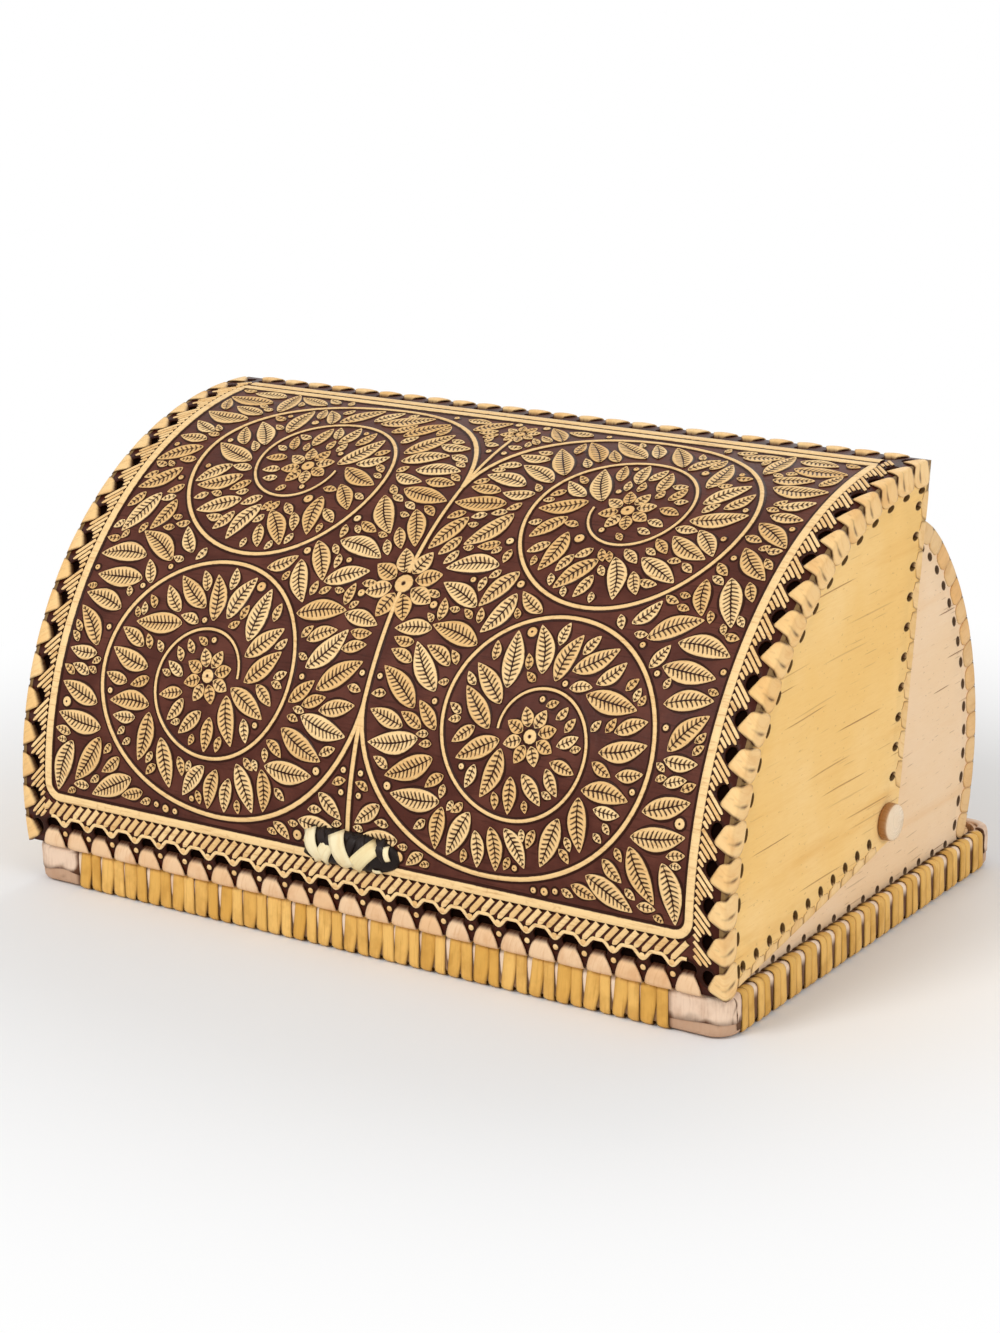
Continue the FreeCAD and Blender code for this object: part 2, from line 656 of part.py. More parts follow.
def edge_lacing(name, side, frame):
    """Strips whipped over a straight edge of the lid's side."""
    body = make_body(name)
    first = row_places(frame)[0]
    middle = f"{side} * (lid_half - bark / 2)"
    half = "(edge_lace_width / 2)"
    outside = make_sketch(body, "YZ_Plane", (frame[0], frame[1], middle), frame[2])
    rectangle(outside, (f"{first} - {half}", "-snug - lace"), (f"{first} + {half}", f"{frame[4]} + lace / 2"))
    block = pad(body, outside, "bark + (snug + lace) * 2", middle=True)
    inside = make_sketch(body, "YZ_Plane", (frame[0], frame[1], middle), frame[2])
    rectangle(inside, (f"{first} - {half} - lace", "-snug"),
              (f"{first} + {half} + lace", f"{frame[4]} - lace / 2"))
    edge_row(body, [block, pocket(body, inside, "bark + snug * 2", middle=True)], frame)


def lid_sheet_outline(sketch, outer, thickness, first, last):
    """A curved sheet about the lid's axis between two angles, in two arcs."""
    inner = f"{outer} - {thickness}"

    def point(radius, turn):
        return on_circle(LID, radius, f"180 - ({turn})")
    middle = f"(({first}) + ({last})) / 2"
    outline(sketch, [point(outer, last), point(outer, middle), point(outer, first),
                     point(inner, first), point(inner, middle), point(inner, last)],
            {0: (outer, 1), 1: (outer, 1), 3: (inner, -1), 4: (inner, -1)})


def radial_sketch(body, turn):
    """A sketch through the lid's axis, facing outward at an angle up from the front."""
    return make_sketch(body, "XY_Plane", ("0", "lid_y", "lid_z"), f"90 - ({turn})", VECTOR(1, 0, 0))


def tie_slits(body, radius):
    """Two slits through the front for the strip that ties the pull on."""
    sketch = radial_sketch(body, "pull_turn")
    for hand in "-+":
        middle = f"pull_x {hand} tie_span / 2"
        slit_box(sketch, middle, "0", "tie_width")
    pocket(body, sketch, f"{radius} + bark", backward=True)


def lid_panel():
    """The curved front, punched for the corner strips, the lower strips and the rear strips."""
    body = make_body("lid_panel")
    sketch = make_sketch(body, "YZ_Plane")
    lid_sheet_outline(sketch, "lid_radius", "bark", "front_turn", "rear_turn")
    pad(body, sketch, "lid_inner * 2", middle=True)
    arc_sketch = radial_sketch(body, ARC_FIRST)
    outer = "lid_half - arc_front_reach + slit / 2"
    half = "(arc_lace_width / 2 + ease)"
    rectangle(arc_sketch, (f"{outer} - arc_hole", f"-{half}"), (outer, half))
    rectangle(arc_sketch, (f"-({outer})", f"-{half}"), (f"-({outer} - arc_hole)", half))
    arc_cut = pocket(body, arc_sketch, "lid_radius + bark", backward=True)
    axis = make_sketch(body, "YZ_Plane", ("lid_y", "lid_z", "0"))
    around(body, arc_cut, axis, ARC_TURN, ARC_COUNT)
    rear_width = "(rear_lace_width + ease * 2)"
    start = row_start("front_pitch", FRONT_SPAN)
    for turn, width, height in ((FRONT_HOLES, "hole_width", "hole_height"), (REAR_HOLES, rear_width, "slit")):
        row_sketch = radial_sketch(body, turn)
        rectangle(row_sketch, (f"{start} - {width} / 2", f"-{height} / 2"),
                  (f"{start} + {width} / 2", f"{height} / 2"))
        row_cut = pocket(body, row_sketch, "lid_radius + bark", backward=True)
        along_row(body, [row_cut], "X_Axis", "front_pitch", FRONT_SPAN)
    tie_slits(body, "lid_radius")


# the rows along the box stop clear of the corner stitches
FRONT_SPAN = "(lid_width - arc_front_reach * 2)"
FRONT_HOLES = "front_turn + front_lace_reach / lid_radius * 180 / pi"
REAR_HOLES = "rear_turn - rear_lace_reach / lid_radius * 180 / pi"


def lid_lining():
    body = make_body("lid_lining")
    sketch = make_sketch(body, "YZ_Plane")
    inset = "lining_inset / lid_radius * 180 / pi"
    lid_sheet_outline(sketch, "lid_radius - bark - snug / 2", "lining",
                      f"front_turn + {inset}", f"rear_turn - {inset}")
    pad(body, sketch, "(lid_half - lining_inset) * 2", middle=True)
    tie_slits(body, "lid_radius")


def lid_side_lining(name, side):
    """Lines the lid's side inside its laced edges."""
    body = make_body(name)
    start = "lid_inner - snug / 2 - lining" if side > 0 else "-lid_inner + snug / 2"
    sketch = make_sketch(body, "YZ_Plane", ("0", "0", start))
    past = "((lining_inset - lid_heel) / (1 + sin(toe_rise + rear_lean)))"
    run = "(lining_inset * 1.3)"
    toe = (f"toe_y + {run} * cos(toe_rise) - lining_inset * sin(toe_rise)",
           f"lid_rest + {run} * sin(toe_rise) + lining_inset * cos(toe_rise)")
    heel = (f"hinge_y - {past} * (sin(toe_rise) + cos(rear_lean))",
            f"hinge_z + {past} * (cos(toe_rise) + sin(rear_lean))")
    rear = (f"rear_y - {run} * sin(rear_lean) - lining_inset * cos(rear_lean)",
            f"rear_z - {run} * cos(rear_lean) + lining_inset * sin(rear_lean)")
    outline(sketch, [toe, heel, rear], {2: ("lid_radius - lining_inset", 1)})
    pad(body, sketch, "lining")
    notch = make_sketch(body, "YZ_Plane")
    circle(notch, HINGE, "washer_radius + play")
    pocket(body, notch, "lid_width", middle=True)


def edge_whip(name, turn, hole_turn, reach, width, inward, neck=None):
    """Strips whipped over an edge of the curved front, narrowed to a neck at the hole if one is given.

    The sketch's X is radial and its Y points down the curve from half-way between edge and hole.
    """
    body = make_body(name)
    half_way = f"(({turn}) + ({hole_turn})) / 2"
    start = row_start("front_pitch", FRONT_SPAN)
    sketch = make_sketch(body, "YZ_Plane", ("lid_y", "lid_z", start), f"180 - {half_way}")
    past_edge, past_hole = f"({reach} / 2 + snug + lace)", f"({reach} / 2 + lace / 2)"
    for gap in ("0", "lace"):
        low, high = (f"({length} - {gap})" for length in (past_edge, past_hole))
        ends = (f"-{high}", low) if inward > 0 else (f"-{low}", high)
        rectangle(sketch, (f"lid_radius - bark - snug - lace + {gap}", ends[0]),
                  (f"lid_radius + snug + lace - {gap}", ends[1]))
    features = [pad(body, sketch, width, middle=True)]
    if neck:
        side_cut = radial_sketch(body, half_way)
        for hand in (-1, 1):
            wedge = [(f"{start} + {hand} * {width} / 2", f"-{inward} * {reach} / 2"),
                     (f"{start} + {hand} * ({width} / 2 + lace)", f"{inward} * ({past_hole} + lace)"),
                     (f"{start} + {hand} * {neck} / 2", f"{inward} * ({past_hole} + lace)")]
            outline(side_cut, wedge)
        features.append(pocket(body, side_cut, "lid_radius + bark + lace * 2", backward=True))
    along_row(body, features, "X_Axis", "front_pitch", FRONT_SPAN)


def arc_lacing(name, side):
    body = make_body(name)
    strip = corner_strip(body, ("0", "lid_z", "-(lid_y)"), f"90 - {ARC_FIRST}", "lid_radius",
                         "arc_front_reach", "lid_half", "arc_side_reach", "arc_lace_width", side, True)
    axis = make_sketch(body, "YZ_Plane", ("lid_y", "lid_z", "0"))
    around(body, strip, axis, ARC_TURN, ARC_COUNT)


def pull_plait():
    """The plaited pull: a low pointed knot that lies on the front."""
    body = make_body("pull_plait")
    sketch = radial_sketch(body, "pull_turn")
    seat = "(lid_radius + snug * 2 + lace)"
    sketch.setExpression(".AttachmentOffset.Base.y", bound(f"lid_y - {seat} * cos(pull_turn)"))
    sketch.setExpression(".AttachmentOffset.Base.z", bound(f"lid_z + {seat} * sin(pull_turn)"))
    half, waist, height = "pull_length / 2", "pull_length / 3", "pull_breadth / 2"
    outline(sketch, [(f"pull_x + {waist}", f"-{height}"), (f"pull_x + {half}", "0"),
                     (f"pull_x + {waist}", height), (f"pull_x - {waist}", height),
                     (f"pull_x - {half}", "0"), (f"pull_x - {waist}", f"-{height}")])
    loaf = pad(body, sketch, "pull_depth - lace - snug * 2")
    doc.recompute()
    top = min(loaf.Shape.Faces, key=lambda face: face.CenterOfMass.y)
    names = [f"Edge{index}" for index, edge in enumerate(loaf.Shape.Edges, 1)
             if any(edge.isSame(other) for other in top.Edges)]
    bevel = body.newObject("PartDesign::Chamfer", "pull_bevel_edge")
    bevel.Base = (loaf, names)
    bevel.setExpression("Size", bound("pull_bevel"))
    body.Tip = bevel


def pull_tie():
    """The strip behind the pull: out through one slit, across and back in through the other."""
    body = make_body("pull_tie")
    sketch = make_sketch(body, "XZ_Plane", ("0", "lid_z", "-(lid_y)"), "90 - pull_turn", VECTOR(1, 0, 0))
    outer = "(lid_radius + snug + lace)"
    inner = "(lid_radius - bark - snug - lining - snug - lace)"
    rectangle(sketch, ("pull_x - tie_span / 2 - lace / 2", inner),
              ("pull_x + tie_span / 2 + lace / 2", outer))
    rectangle(sketch, ("pull_x - tie_span / 2 + lace / 2", f"{inner} + lace"),
              ("pull_x + tie_span / 2 - lace / 2", f"{outer} - lace"))
    pad(body, sketch, "tie_width", middle=True)


# ---------------------------------------------------------------- assembly

flat_sheet("base_sheet", "0", "facing")
flat_sheet("base_board", "facing", "floor_level - facing * 2")
flat_sheet("floor_sheet", "floor_level - facing", "facing")
rim_core()
for side_name, direction, along_x in (("front", -1, True), ("back", 1, True),
                                      ("left", -1, False), ("right", 1, False)):
    rim_binding(side_name, direction, along_x)
rim_corners()
back_shell()
back_lining()
lid_panel()
lid_lining()
edge_whip("lid_front_lacing", "front_turn", FRONT_HOLES, "front_lace_reach", "front_lace_width", 1,
          "strip_neck")
edge_whip("lid_rear_lacing", "rear_turn", REAR_HOLES, "rear_lace_reach", "rear_lace_width", -1)
pull_plait()
pull_tie()
hinge_pegs()
discs("hinge_spacers", "body_half", "spacer")
discs("hinge_washers", "washer_face - washer", "washer")
for side_name, side in SIDES:
    side_panel(f"side_panel_{side_name}", side)
    side_lining(f"side_lining_{side_name}", side)
    body_lacing(f"body_lacing_{side_name}", side)
    lid_side(f"lid_side_{side_name}", side)
    lid_side_lining(f"lid_side_lining_{side_name}", side)
    arc_lacing(f"lid_arc_lacing_{side_name}", side)
    edge_lacing(f"lid_edge_lacing_{side_name}", side, REAR_EDGE)
    edge_lacing(f"lid_under_lacing_{side_name}", side, LOWER_EDGE)

doc.recompute()
os.makedirs("parts", exist_ok=True)
for item in doc.Objects:
    if {"Invalid", "Error"} & set(item.State):
        raise RuntimeError(f"{item.Name} did not build: {item.State}")
nodes = [item for item in doc.Objects if item.TypeId == "PartDesign::Body"]
for node in nodes:
    if node.Shape.isNull() or not node.Shape.isValid():
        raise RuntimeError(f"{node.Label} has no valid solid")
    node.Shape.exportStep(f"parts/{node.Label}.step")
    print(f"{node.Label:28s} {len(node.Shape.Solids):3d} solids {node.Shape.Volume / 1000:9.2f} cm3")
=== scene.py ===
"""Looks of the birch bark box: embossed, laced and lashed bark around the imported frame.

Shapes are worked out in millimetres in the frame's own axes and scaled to metres when a piece is made.
"""

import json
import math
import random

import bpy
import numpy as np
from mathutils import Matrix, Vector, geometry, noise


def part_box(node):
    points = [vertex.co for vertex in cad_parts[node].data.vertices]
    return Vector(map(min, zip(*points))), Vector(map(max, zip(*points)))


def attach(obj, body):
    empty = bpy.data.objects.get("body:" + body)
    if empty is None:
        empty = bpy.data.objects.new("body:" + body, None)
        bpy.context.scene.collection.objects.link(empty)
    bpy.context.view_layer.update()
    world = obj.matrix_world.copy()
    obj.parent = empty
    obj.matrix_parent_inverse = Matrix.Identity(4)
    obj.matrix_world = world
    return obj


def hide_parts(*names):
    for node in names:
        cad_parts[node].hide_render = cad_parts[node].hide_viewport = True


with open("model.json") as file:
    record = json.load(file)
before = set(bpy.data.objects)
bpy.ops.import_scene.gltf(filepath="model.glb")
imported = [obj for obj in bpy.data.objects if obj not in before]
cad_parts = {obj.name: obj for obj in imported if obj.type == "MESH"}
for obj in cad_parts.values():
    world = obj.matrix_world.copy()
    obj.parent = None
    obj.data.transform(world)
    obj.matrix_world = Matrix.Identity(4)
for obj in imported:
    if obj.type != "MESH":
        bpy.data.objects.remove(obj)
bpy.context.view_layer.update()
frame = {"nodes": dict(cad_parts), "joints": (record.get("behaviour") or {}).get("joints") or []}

MM = 0.001
TAU = math.tau
SEED = 7
random.seed(SEED)


# ---------------------------------------------------------------- sizes, from the frame

def box_mm(node):
    """A node's lowest and highest corners in millimetres."""
    return [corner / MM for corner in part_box(node)]


LID_RADIUS = 168.5
BARK = 1.8
PANEL_LOW, PANEL_HIGH = box_mm("lid_panel")
LID_Y = PANEL_LOW.y + LID_RADIUS
LID_Z = PANEL_HIGH.z - LID_RADIUS
FRONT_TURN = math.asin((PANEL_LOW.z - LID_Z) / LID_RADIUS)
REAR_TURN = math.acos((LID_Y - PANEL_HIGH.y) / LID_RADIUS)
ARC_LENGTH = LID_RADIUS * (REAR_TURN - FRONT_TURN)
LID_HALF = box_mm("lid_side_right")[1].x
PANEL_HALF = PANEL_HIGH.x
HINGE = Vector(frame["joints"][0]["pos_m"]) / MM
BASE_HALF_X = box_mm("rim_binding_right")[1].x
BASE_HALF_Y, BASE_HEIGHT = box_mm("rim_binding_back")[1].yz

FRONT_PITCH = 14.4
FRONT_COUNT = 25
ARC_COUNT = 19
ARC_STEP = ARC_LENGTH / ARC_COUNT
ARC_HOLE_U = LID_HALF - 7.1
ARC_SIDE_REACH = 10.5
ARC_HOLE = (3.1, 3.8)
FRONT_HOLE = (4.3, 3.5)
FRONT_HOLE_V = 10.2
REAR_HOLE = (3.7, 2.6)
REAR_HOLE_V = ARC_LENGTH - 8.2


def lid_turn(v):
    """The angle about the lid's axis at v up the curve from the lower edge."""
    return FRONT_TURN + v / LID_RADIUS


def about_lid(radius, turn):
    """Y and Z of a point about the lid's axis."""
    return (LID_Y - radius * math.cos(turn), LID_Z + radius * math.sin(turn))


def on_lid(u, v, out=0.0):
    """A point at u along the box and v up the curve, raised out from the bark."""
    return (u, *about_lid(LID_RADIUS + out, lid_turn(v)))


def front_row():
    """Where the holes of the front row stand along the box."""
    return [(index - (FRONT_COUNT - 1) / 2) * FRONT_PITCH for index in range(FRONT_COUNT)]


def arc_row():
    """Where the holes beside the curved edges stand up the curve."""
    return [(index + 0.5) * ARC_STEP for index in range(ARC_COUNT)]


# ---------------------------------------------------------------- meshes

def put_in_scene(name, data):
    """A new object of the scene."""
    made = bpy.data.objects.new(name, data)
    bpy.context.scene.collection.objects.link(made)
    return made


class Build:
    """The points, faces and painted values of one piece, in millimetres."""

    def __init__(self):
        self.points, self.faces, self.ink, self.tint, self.grain = [], [], [], [], []

    def add(self, point, ink=0.0, tint=0.5, grain=(0, 0, 0)):
        self.points.append(Vector(point) * MM)
        self.ink.append(ink)
        self.tint.append(tint)
        self.grain.extend(grain)

    def grid(self, rows, ink=None, tint=0.5, closed=False, seed=0.0, around=False):
        """Join rows of points with four-sided faces.

        Closed joins the last row to the first, and around joins the ends of each row.
        """
        count, width = len(rows), len(rows[0])
        start = len(self.points)
        along = 0.0
        for i, row in enumerate(rows):
            if i:
                along += math.dist(row[width // 2], rows[i - 1][width // 2])
            across = 0.0
            for j, point in enumerate(row):
                if j:
                    across += math.dist(point, row[j - 1])
                self.add(point, ink[i][j] if ink else 0.0, tint, (along, across, seed))
        for i in range(count if closed else count - 1):
            near, far = start + i * width, start + (i + 1) % count * width
            for j in range(width if around else width - 1):
                after = (j + 1) % width
                self.faces.append((near + j, near + after, far + after, far + j))

    def piece(self, name, material, body, slot, replaces=(), thickness=0.0, smooth=True, flip=False):
        """Make the object, in metres, riding on a body."""
        mesh = bpy.data.meshes.new(name)
        mesh.from_pydata(self.points, [], [face[::-1] for face in self.faces] if flip else self.faces)
        for key, values in (("ink", self.ink), ("tint", self.tint)):
            mesh.attributes.new(key, "FLOAT", "POINT").data.foreach_set("value", values)
        mesh.attributes.new("grain", "FLOAT_VECTOR", "POINT").data.foreach_set("vector", self.grain)
        mesh.polygons.foreach_set("use_smooth", [smooth] * len(mesh.polygons))
        mesh.materials.append(material)
        mesh.validate()
        made = put_in_scene(name, mesh)
        if thickness:
            solid = made.modifiers.new("thickness", "SOLIDIFY")
            solid.thickness = thickness * MM
            solid.offset = -1
        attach(made, body)
        if replaces:
            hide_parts(*replaces)


# ---------------------------------------------------------------- materials

def colour(red, green, blue):
    """A screen colour, 0 to 255, as the linear colour that a shader takes."""
    parts = [value / 255 for value in (red, green, blue)]
    return (*(part / 12.92 if part <= 0.04045 else ((part + 0.055) / 1.055) ** 2.4 for part in parts), 1)


class Nodes:
    """The node tree of a material or a world, built up node by node."""

    def __init__(self, owner):
        owner.use_nodes = True
        self.tree = owner.node_tree

    def put(self, socket, value):
        if isinstance(value, bpy.types.NodeSocket):
            self.tree.links.new(value, socket)
        else:
            socket.default_value = value

    def node(self, kind, inputs=(), **settings):
        """Add a node, set or link its inputs, and give its outputs."""
        made = self.tree.nodes.new("ShaderNode" + kind)
        for key, value in settings.items():
            setattr(made, key, value)
        for key, value in dict(inputs).items():
            self.put(made.inputs[key], value)
        return made.outputs

    def place(self):
        """Position in the frame, in metres."""
        return self.node("TexCoord")["Object"]

    def span(self, value, low, high, first=0.0, last=1.0):
        """Map low..high onto first..last, clamped, with a soft start and end."""
        ends = {"From Min": low, "From Max": high, "To Min": first, "To Max": last}
        return self.node("MapRange", {"Value": value, **ends}, interpolation_type="SMOOTHSTEP")["Result"]

    def math(self, kind, *values):
        return self.node("Math", enumerate(values), operation=kind)[0]


class Look(Nodes):
    """A material with one glossy shader."""

    def __init__(self, name, roughness=0.55, gloss=0.16):
        self.material = bpy.data.materials.new(name)
        super().__init__(self.material)
        self.shader = self.tree.nodes["Principled BSDF"]
        self.bump_from = None
        self.shade("Roughness", roughness)
        self.shade("Specular IOR Level", gloss)

    def shade(self, key, value):
        self.put(self.shader.inputs[key], value)

    def painted(self, key):
        return self.node("Attribute", attribute_name=key)["Vector" if key == "grain" else "Fac"]

    def stretch(self, vector, scale, shift=(0, 0, 0)):
        return self.node("Mapping", {"Vector": vector, "Scale": scale, "Location": shift})["Vector"]

    def noise(self, vector, scale=1.0, detail=3.0, rough=0.55, warp=0.0):
        return self.node("TexNoise", {"Vector": vector, "Scale": scale, "Detail": detail,
                                      "Roughness": rough, "Distortion": warp})["Fac"]

    def spindles(self, along, across, half, area, thick=0.42, shift=0.0):
        """Thin spindles scattered over a sheet: half a length and thick in mm, one to an area."""
        stretch = math.sqrt(area * half / thick) * MM
        joined = self.node("CombineXYZ", {
            0: self.math("MULTIPLY", along, 1 / stretch),
            1: self.math("MULTIPLY_ADD", across, half / thick / stretch, shift)})[0]
        cell = self.node("TexVoronoi", {"Scale": 1, "Vector": joined}, voronoi_dimensions="2D")
        chance = self.node("SeparateColor", {0: cell["Color"]})
        reach = self.span(chance[0], 0.0, 1.0, 0.35 * half * MM / stretch, half * MM / stretch)
        mark = self.span(self.math("DIVIDE", cell["Distance"], reach), 1.0, 0.6)
        return self.math("MULTIPLY", mark, self.span(chance[1], 0.0, 1.0, 0.35, 1.0))

    def blend(self, factor, first, second):
        return self.node("Mix", {"Factor": factor, 6: first, 7: second}, data_type="RGBA")[2]

    def bump(self, height, depth):
        """Raise the surface by up to depth millimetres."""
        below = {"Normal": self.bump_from} if self.bump_from else {}
        inputs = {"Height": height, "Distance": depth * MM, "Strength": 1, **below}
        self.bump_from = self.node("Bump", inputs)["Normal"]
        self.shade("Normal", self.bump_from)

    def finish(self, base, cloud=None, smooth=0.0, rough=0.0):
        """Give the shader its colour and, from a cloud, its roughness."""
        self.shade("Base Color", base)
        if cloud:
            self.shade("Roughness", self.span(cloud, 0.3, 0.7, smooth, rough))
        return self.material


ALONG = {"x": (1, 12, 12), "y": (12, 1, 12)}
# the way across the dashes, as shares of Y and Z: on a side, over the back, in the lid, on a floor
SIDE_WAY, BACK_WAY, LID_WAY, FLOOR_WAY = (0, 1), (-0.7, 0.7), (0.7, 0.7), (1, 0)


def bark_sheet(name, tones, dashes, along, seed, way=SIDE_WAY, spindle=(22, 1000)):
    """Smooth bark: clouded colour, fine fibre and long thin dashes all one way."""
    look = Look(name, 0.5)
    base, light, deep, dash = (colour(*tone) for tone in tones)
    place = look.place()
    shift = (seed, seed * 0.7, seed * 1.3)
    long_way = ALONG[along]
    cloud = look.noise(look.stretch(place, (1, 1, 1), shift), 11, 4)
    streak = look.noise(look.stretch(place, [value / 2 for value in long_way], shift), 14, 4, 0.6, 0.4)
    fibre = look.noise(look.stretch(place, long_way, shift), 130, 3, 0.6)
    shade = look.blend(look.span(cloud, 0.35, 0.72), base, light)
    shade = look.blend(look.span(streak, 0.5, 0.8, 0, 0.6), shade, deep)
    shade = look.blend(look.span(fibre, 0.35, 0.75, 0, 0.16), shade, deep)
    parts = look.node("SeparateXYZ", {0: place})
    across = look.math("MULTIPLY_ADD", parts["Z"], way[1], look.math("MULTIPLY", parts["Y"], way[0]))
    across = look.math("ADD", across, look.math("MULTIPLY", look.noise(place, 9, 1), 0.006))
    length = parts[along.upper()]
    large = look.spindles(length, across, *spindle, shift=seed)
    small = look.spindles(length, across, spindle[0] * 0.3, spindle[1] * 0.24, 0.22, seed + 40)
    mark = look.math("MAXIMUM", large, look.math("MULTIPLY", small, 0.5))
    mark = look.math("MULTIPLY", mark, dashes)
    shade = look.blend(mark, shade, dash)
    pores = look.span(look.noise(look.stretch(place, (3, 1.5, 3)), 260, 1), 0.7, 0.76, 0, 0.3)
    shade = look.blend(pores, shade, dash)
    # painted shade from the ink: dark round the holes and along the lid side's curved edge
    shade = look.blend(look.span(look.painted("ink"), 0.05, 1.0, 0, 0.8), shade, colour(74, 44, 22))
    look.bump(fibre, 0.12)
    look.bump(mark, 0.25)
    look.bump(cloud, 0.8)
    return look.finish(shade, cloud, 0.43, 0.6)


def bark_strip(name, tones, roughness=0.48):
    """A strip of bark: fibre along its length, a tint of its own and dark where ink is painted, mostly as
    painted shade.
    """
    look = Look(name, roughness)
    base, light, deep, ink = (colour(*tone) for tone in tones)
    grain = look.painted("grain")
    fibre = look.noise(look.stretch(grain, (0.06, 0.95, 1)), 1, 4, 0.62)
    cloud = look.noise(look.stretch(grain, (0.09, 0.13, 1), (3, 5, 0)), 1, 3)
    shade = look.blend(look.painted("tint"), base, light)
    shade = look.blend(look.span(cloud, 0.42, 0.75, 0, 0.5), shade, deep)
    shade = look.blend(look.span(fibre, 0.5, 0.75, 0, 0.45), shade, deep)
    dark = look.math("MULTIPLY", look.painted("ink"), look.span(fibre, 0.15, 0.6, 1.05, 0.8))
    shade = look.blend(look.span(dark, 0.1, 0.9), shade, ink)
    look.bump(fibre, 0.22)
    look.bump(cloud, 0.3)
    return look.finish(shade, cloud, roughness - 0.08, roughness + 0.12)


# beyond these lines, between the laces, the embossed sheet is painted near black as the shade between the
# strips
GUTTER_U = ARC_HOLE_U - 4.5
GUTTER_LOW = FRONT_HOLE_V + 4.5
GUTTER_HIGH = REAR_HOLE_V - 4.0


def embossed_bark():
    """Dark stained ground, tan where the relief stands up, near black in its grooves."""
    ground, ground_red, groove = colour(78, 38, 28), colour(96, 52, 40), colour(48, 17, 4)
    tan, tan_light, tan_deep = colour(232, 186, 122), colour(250, 214, 156), colour(186, 128, 68)
    look = Look("embossed_bark", 0.48, 0.12)
    place = look.place()
    cloud = look.noise(place, 45, 4, 0.6)
    fine = look.noise(place, 420, 3, 0.6)
    fibre = look.noise(look.stretch(place, ALONG["x"]), 60, 3, 0.6)
    earth = look.blend(look.span(cloud, 0.38, 0.68), ground, ground_red)
    earth = look.blend(look.span(fibre, 0.5, 0.75, 0, 0.5), earth, groove)
    raised = look.blend(look.painted("tint"), tan, tan_light)
    raised = look.blend(look.span(fibre, 0.48, 0.78, 0, 0.55), raised, tan_deep)
    raised = look.blend(look.span(fine, 0.55, 0.75, 0, 0.3), raised, tan_deep)
    parts = look.node("SeparateXYZ", {0: look.painted("grain")})
    gutter_shade = look.span(look.math("ABSOLUTE", parts["X"]), GUTTER_U - 1, GUTTER_U)
    for low, high in ((GUTTER_LOW + 1, GUTTER_LOW), (GUTTER_HIGH - 1, GUTTER_HIGH)):
        gutter_shade = look.math("MAXIMUM", gutter_shade, look.span(parts["Y"], low, high))
    # painted shade: the sheet near black between the laces
    earth = look.blend(gutter_shade, earth, colour(66, 26, 14))
    ink = look.painted("ink")
    shaded = look.math("ADD", ink, look.math("MULTIPLY", look.math("SUBTRACT", fine, 0.5), 0.35))
    relief = look.blend(look.span(shaded, 0.3, 0.72), raised, groove)
    shade = look.blend(look.span(ink, 1.5, 1.6), relief, earth)
    look.bump(fine, 0.14)
    look.bump(cloud, 0.5)
    return look.finish(shade, cloud, 0.36, 0.52)


EMBOSSED = embossed_bark()
# tones of a sheet: base, light, deep and dash
LID_SIDE_BARK = bark_sheet(
    "lid_side_bark", ((244, 198, 118), (250, 212, 146), (230, 172, 86), (164, 112, 58)),
    0.68, "y", 0.0, spindle=(24, 900))
BODY_BARK = bark_sheet(
    "body_bark", ((242, 208, 166), (246, 218, 186), (234, 188, 134), (140, 96, 60)),
    0.8, "y", 2.3, spindle=(12, 560))
BACK_BARK = bark_sheet(
    "back_bark", ((232, 196, 148), (240, 212, 176), (222, 176, 118), (132, 90, 54)),
    0.75, "x", 4.1, BACK_WAY, (16, 900))
LINING_BARK = bark_sheet(
    "lining_bark", ((226, 176, 116), (236, 194, 140), (206, 146, 86), (132, 84, 46)),
    0.65, "x", 6.7, LID_WAY)
SIDE_LINING_BARK = bark_sheet(
    "side_lining_bark", ((228, 178, 118), (238, 198, 144), (208, 150, 90), (140, 92, 52)), 0.6, "y", 5.7)
FLOOR_BARK = bark_sheet(
    "floor_bark", ((222, 176, 120), (234, 196, 146), (202, 150, 94), (122, 80, 46)),
    0.7, "x", 8.9, FLOOR_WAY)
CORE_BARK = bark_sheet(
    "rim_core_bark", ((206, 164, 122), (226, 190, 158), (160, 112, 72), (90, 56, 34)),
    0.6, "x", 1.7, FLOOR_WAY)
WOOD = bark_sheet(
    "board_wood", ((222, 186, 134), (232, 200, 152), (200, 158, 104), (170, 124, 76)),
    0.5, "x", 3.9, FLOOR_WAY)
# tones of a strip: base, light, deep and ink, the colour of its painted shade and other dark marks
LID_STRIP = bark_strip(
    "lid_strip_bark", ((242, 196, 128), (250, 212, 152), (222, 164, 98), (74, 40, 20)))
FRONT_STRIP = bark_strip(
    "front_strip_bark", ((240, 196, 148), (246, 210, 170), (214, 156, 104), (70, 34, 18)))
EDGE_STRIP = bark_strip(
    "edge_strip_bark", ((236, 194, 130), (244, 206, 148), (214, 160, 94), (84, 50, 24)))
BODY_STRIP = bark_strip(
    "body_strip_bark", ((232, 194, 140), (236, 184, 118), (206, 156, 100), (84, 50, 26)))
RIM_STRIP = bark_strip(
    "rim_strip_bark", ((222, 168, 78), (248, 200, 116), (190, 136, 58), (82, 50, 22)))
RIM_SIDE_STRIP = bark_strip(
    "rim_side_strip_bark", ((222, 172, 88), (240, 192, 110), (184, 132, 58), (82, 50, 22)))
PATCH_BARK = bark_strip(
    "corner_bark", ((194, 156, 126), (244, 216, 190), (190, 148, 118), (100, 62, 40)))
SLIVER_BARK = bark_strip(
    "sliver_bark", ((244, 218, 190), (250, 230, 208), (216, 176, 140), (96, 60, 36)))
CREAM_STRIP = bark_strip(
    "cream_strip_bark", ((244, 226, 176), (250, 236, 196), (228, 190, 120), (92, 66, 36)))
BLACK_STRIP = bark_strip(
    "black_strip_bark", ((26, 18, 15), (44, 32, 27), (14, 9, 8), (6, 4, 4)), 0.4)
PEG_WOOD = bark_strip(
    "peg_wood", ((240, 214, 180), (248, 228, 200), (214, 176, 132), (166, 114, 62)), 0.26)
